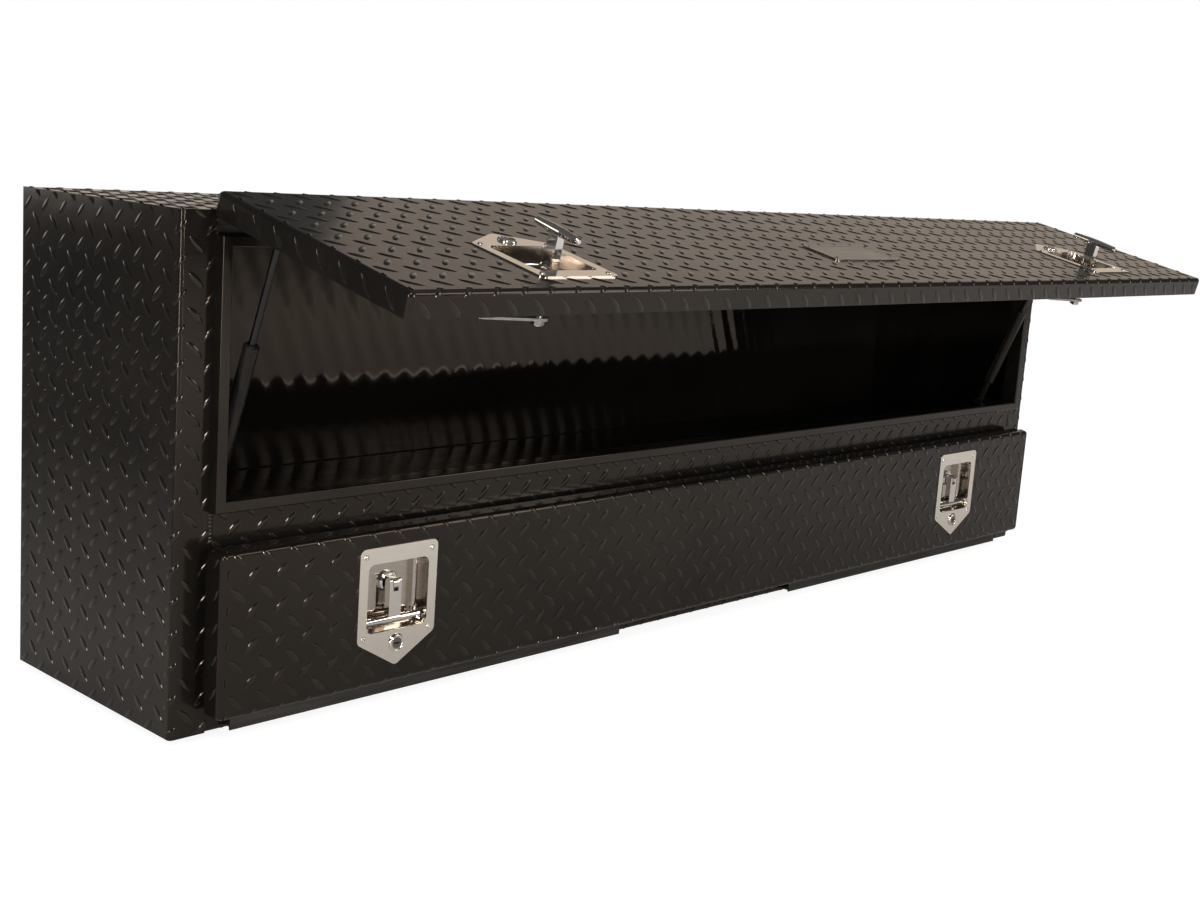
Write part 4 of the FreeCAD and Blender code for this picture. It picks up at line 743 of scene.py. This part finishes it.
def weld_beads():
    """short runs of weld where each stile meets the sill and the header"""
    for side, sign in SIDES:
        mesh = bmesh.new()
        for low, high in BEAD_RUNS:
            count = round((high - low) / BEAD_STEP) + 1
            for step in range(count):
                # no two beads of a hand-made weld are alike
                swell = 1 + 0.14 * math.sin(3.7 * step + 90 * low)
                level = low + (high - low) * step / (count - 1)
                spot = Matrix.Translation(Vector((sign * STILE_EDGE, FRONT, level)))
                turned(mesh, spot @ FACING, [(radius * swell, height) for radius, height in BEAD],
                       sides=16)
        finished("weld_beads_" + side, mesh, BAR, "cabinet")


def badge_rivets():
    """a rivet in each corner of the badge"""
    half_x, half_z = BADGE_HALF
    mesh = bmesh.new()
    for x in (RIVET_INSET - half_x, half_x - RIVET_INSET):
        for z in (RIVET_INSET - half_z, half_z - RIVET_INSET):
            spot = Matrix.Translation(Vector((x, DOOR_FACE - BADGE_RISE, BADGE_LEVEL + z)))
            turned(mesh, UPPER.place @ spot @ FACING, RIVET)
    finished("badge_rivets", mesh, ARM_STEEL, UPPER.name)


def badge_field():
    """bare brushed field let into the badge: a thin plate with round corners and a bevelled rim"""
    corner = 3 * MM
    height = 0.5 * MM
    half_x, half_z = (half - BADGE_BORDER for half in BADGE_HALF)
    spot = Matrix.Translation(Vector((0, DOOR_FACE - (BADGE_RISE - BADGE_SINK), BADGE_LEVEL)))
    place = UPPER.place @ spot @ FACING
    outline = []
    for side_x, side_z, start in ((1, 1, 0), (-1, 1, 90), (-1, -1, 180), (1, -1, 270)):
        for degrees in range(start, start + 91, 15):
            angle = math.radians(degrees)
            outline.append(((half_x - corner) * side_x, (half_z - corner) * side_z,
                            math.cos(angle), math.sin(angle)))
    mesh = bmesh.new()
    loops = []
    for bevel, level in ((0.0, 0.0), (0.0, height * 0.6), (height * 0.5, height)):
        loops.append([mesh.verts.new(place @ Vector((x + (corner - bevel) * cos,
                                                     z + (corner - bevel) * sin, level)))
                      for x, z, cos, sin in outline])
    bridge(mesh, loops)
    close_ends(mesh, loops)
    finished("badge_field", mesh, BADGE_FIELD, UPPER.name, smooth=False)


# inside skins of the upper compartment

SKIN_CELL = (7 * MM, 9 * MM)
SKIN_STAND = 0.12 * MM
SKIN_GAP = 2 * MM
SKIN_FRONT = 130 * MM
ROLLING_PITCH = 95 * MM


def rippled(name, lay, width, run, dent, band):
    """inside skin of tread plate, where the lugs and the rolling show as faint dents"""
    low_u, high_u = width
    low_v, high_v = run
    across = math.ceil((high_u - low_u) / SKIN_CELL[0])
    along = math.ceil((high_v - low_v) / SKIN_CELL[1])
    mesh = bmesh.new()
    rows = []
    for j in range(along + 1):
        row = []
        for i in range(across + 1):
            u = low_u + (high_u - low_u) * i / across
            v = low_v + (high_v - low_v) * j / along
            lugs = (math.cos(2 * math.pi * u / PITCH_ALONG)
                    * math.cos(2 * math.pi * v / PITCH_ACROSS))
            rolling = math.cos(2 * math.pi * (u / PITCH_ALONG + v / ROLLING_PITCH))
            rise = SKIN_STAND + dent * (1 + lugs) + band * (1 + rolling)
            row.append(mesh.verts.new(lay(u, v, rise)))
        rows.append(row)
    for lower, upper in zip(rows, rows[1:]):
        for i in range(across):
            mesh.faces.new((lower[i], lower[i + 1], upper[i + 1], upper[i]))
    finished(name, mesh, INSIDE, "cabinet")


def inside_skins():
    """back and ends of the upper compartment"""
    inner = END - SHEET
    rear = BACK - SHEET
    upright = (SHELF_TOP + SKIN_GAP, HEIGHT - SHEET - SKIN_GAP)
    rippled("inside_back", flat(Vector((0, rear, 0)), X, Z), (SKIN_GAP - inner, inner - SKIN_GAP),
            upright, dent=0.07 * MM, band=0.33 * MM)
    rippled("inside_left_end", flat(Vector((-inner, 0, 0)), Y, Z), (-SKIN_FRONT, rear - SKIN_GAP),
            upright, dent=0.06 * MM, band=0.09 * MM)
    rippled("inside_right_end", flat(Vector((inner, 0, 0)), -Y, Z), (SKIN_GAP - rear, SKIN_FRONT),
            upright, dent=0.06 * MM, band=0.09 * MM)


# studio, in metres and watts

# a little below the cabinet, so that the lower door has room to lie down flat
FLOOR_LEVEL = -11 * MM
FLOOR_HALF = 14
LAMP_TINT = (1.0, 0.93, 0.86)


def softbox(name, spot, target, size, power, tint=LAMP_TINT):
    lamp = bpy.data.lights.new(name, "AREA")
    lamp.color = tint
    lamp.shape = "RECTANGLE"
    lamp.size, lamp.size_y = size
    lamp.energy = power
    holder = bpy.data.objects.new(name, lamp)
    holder.location = spot
    way = Vector(target) - Vector(spot)
    holder.rotation_euler = way.to_track_quat("-Z", "Y").to_euler()
    bpy.context.collection.objects.link(holder)


def studio():
    """room, floor and the cards that show in the gloss"""
    studio_room()
    mesh = bmesh.new()
    bmesh.ops.create_grid(mesh, x_segments=2, y_segments=2, size=FLOOR_HALF)
    data = bpy.data.meshes.new("floor")
    mesh.to_mesh(data)
    mesh.free()
    floor = bpy.data.objects.new("floor", data)
    floor.location.z = FLOOR_LEVEL
    bpy.context.collection.objects.link(floor)
    data.materials.append(studio_floor())
    softbox("key", (-2.4, -2.4, 2.5), (-0.3, 0, 0.3), (0.7, 0.7), 36)
    softbox("overhead", (0.2, -0.8, 3.4), (0.1, -0.1, 0.4), (3.2, 2.6), 7)
    softbox("left_strip", (-3.7, -1.2, 0.75), (-0.6, 0, 0.4), (0.5, 1.6), 40)
    softbox("front_strip", (-0.4, -4.2, 0.9), (0.2, 0, 0.3), (0.25, 1.3), 60)
    softbox("right_card", (2.6, -3.4, 1.15), (0.3, 0, 0.3), (0.8, 1.2), 16)
    softbox("right_floor", (2.4, -3.6, 2.6), (2.0, -3.0, 0), (1.6, 1.6), 40)
    softbox("back_card", (4.70, 2.56, 1.9), (0, 0, 0.5), (4.7, 3.6), 24, (1.0, 0.82, 0.66))
    softbox("rear_fill", (-2.2, 3.2, 1.2), (-0.2, 0.1, 0.3), (1.0, 1.6), 9)
    softbox("back_low_card", (2.3, 4.3, 0.85), (0, 0, 0.5), (2.0, 1.3), 5, (1.0, 0.84, 0.7))


# camera, as fitted to the photograph: pixels, degrees and metres

PHOTO_WIDTH = 1200
PHOTO_HEIGHT = 924
FOCAL_LENGTH = 1591.1
CENTRE_ACROSS = 625.2
CENTRE_DOWN = 436.6
YAW, PITCH, ROLL = (math.radians(angle) for angle in (47.812, -10.042, 4.251))
CAMERA_SPOT = Vector((-1.8263, -1.64165, 0.6732))
SENSOR = 36.0
FAR = 60


def camera():
    """the photograph's view, with the picture's middle off the lens's axis"""
    forward = Vector((math.sin(YAW) * math.cos(PITCH), math.cos(YAW) * math.cos(PITCH),
                      math.sin(PITCH)))
    level = forward.cross(Z).normalized()
    right = math.cos(ROLL) * level + math.sin(ROLL) * level.cross(forward)
    up = right.cross(forward)
    lens = bpy.data.cameras.new("camera")
    lens.sensor_width = SENSOR
    lens.lens = FOCAL_LENGTH / PHOTO_WIDTH * SENSOR
    lens.shift_x = (PHOTO_WIDTH / 2 - CENTRE_ACROSS) / PHOTO_WIDTH
    lens.shift_y = (CENTRE_DOWN - PHOTO_HEIGHT / 2) / PHOTO_WIDTH
    lens.clip_end = FAR
    view = bpy.data.objects.new("camera", lens)
    axes = Matrix((right, up, -forward)).transposed()
    view.matrix_world = Matrix.Translation(CAMERA_SPOT) @ axes.to_4x4()
    bpy.context.collection.objects.link(view)
    bpy.context.scene.camera = view


dress_nodes()
cabinet_tread()
door_tread(UPPER)
door_tread(LOWER)
latch_screws()
lock_collars()
weld_beads()
badge_rivets()
badge_field()
inside_skins()
studio()
camera()
bpy.context.scene.view_settings.view_transform = "Standard"
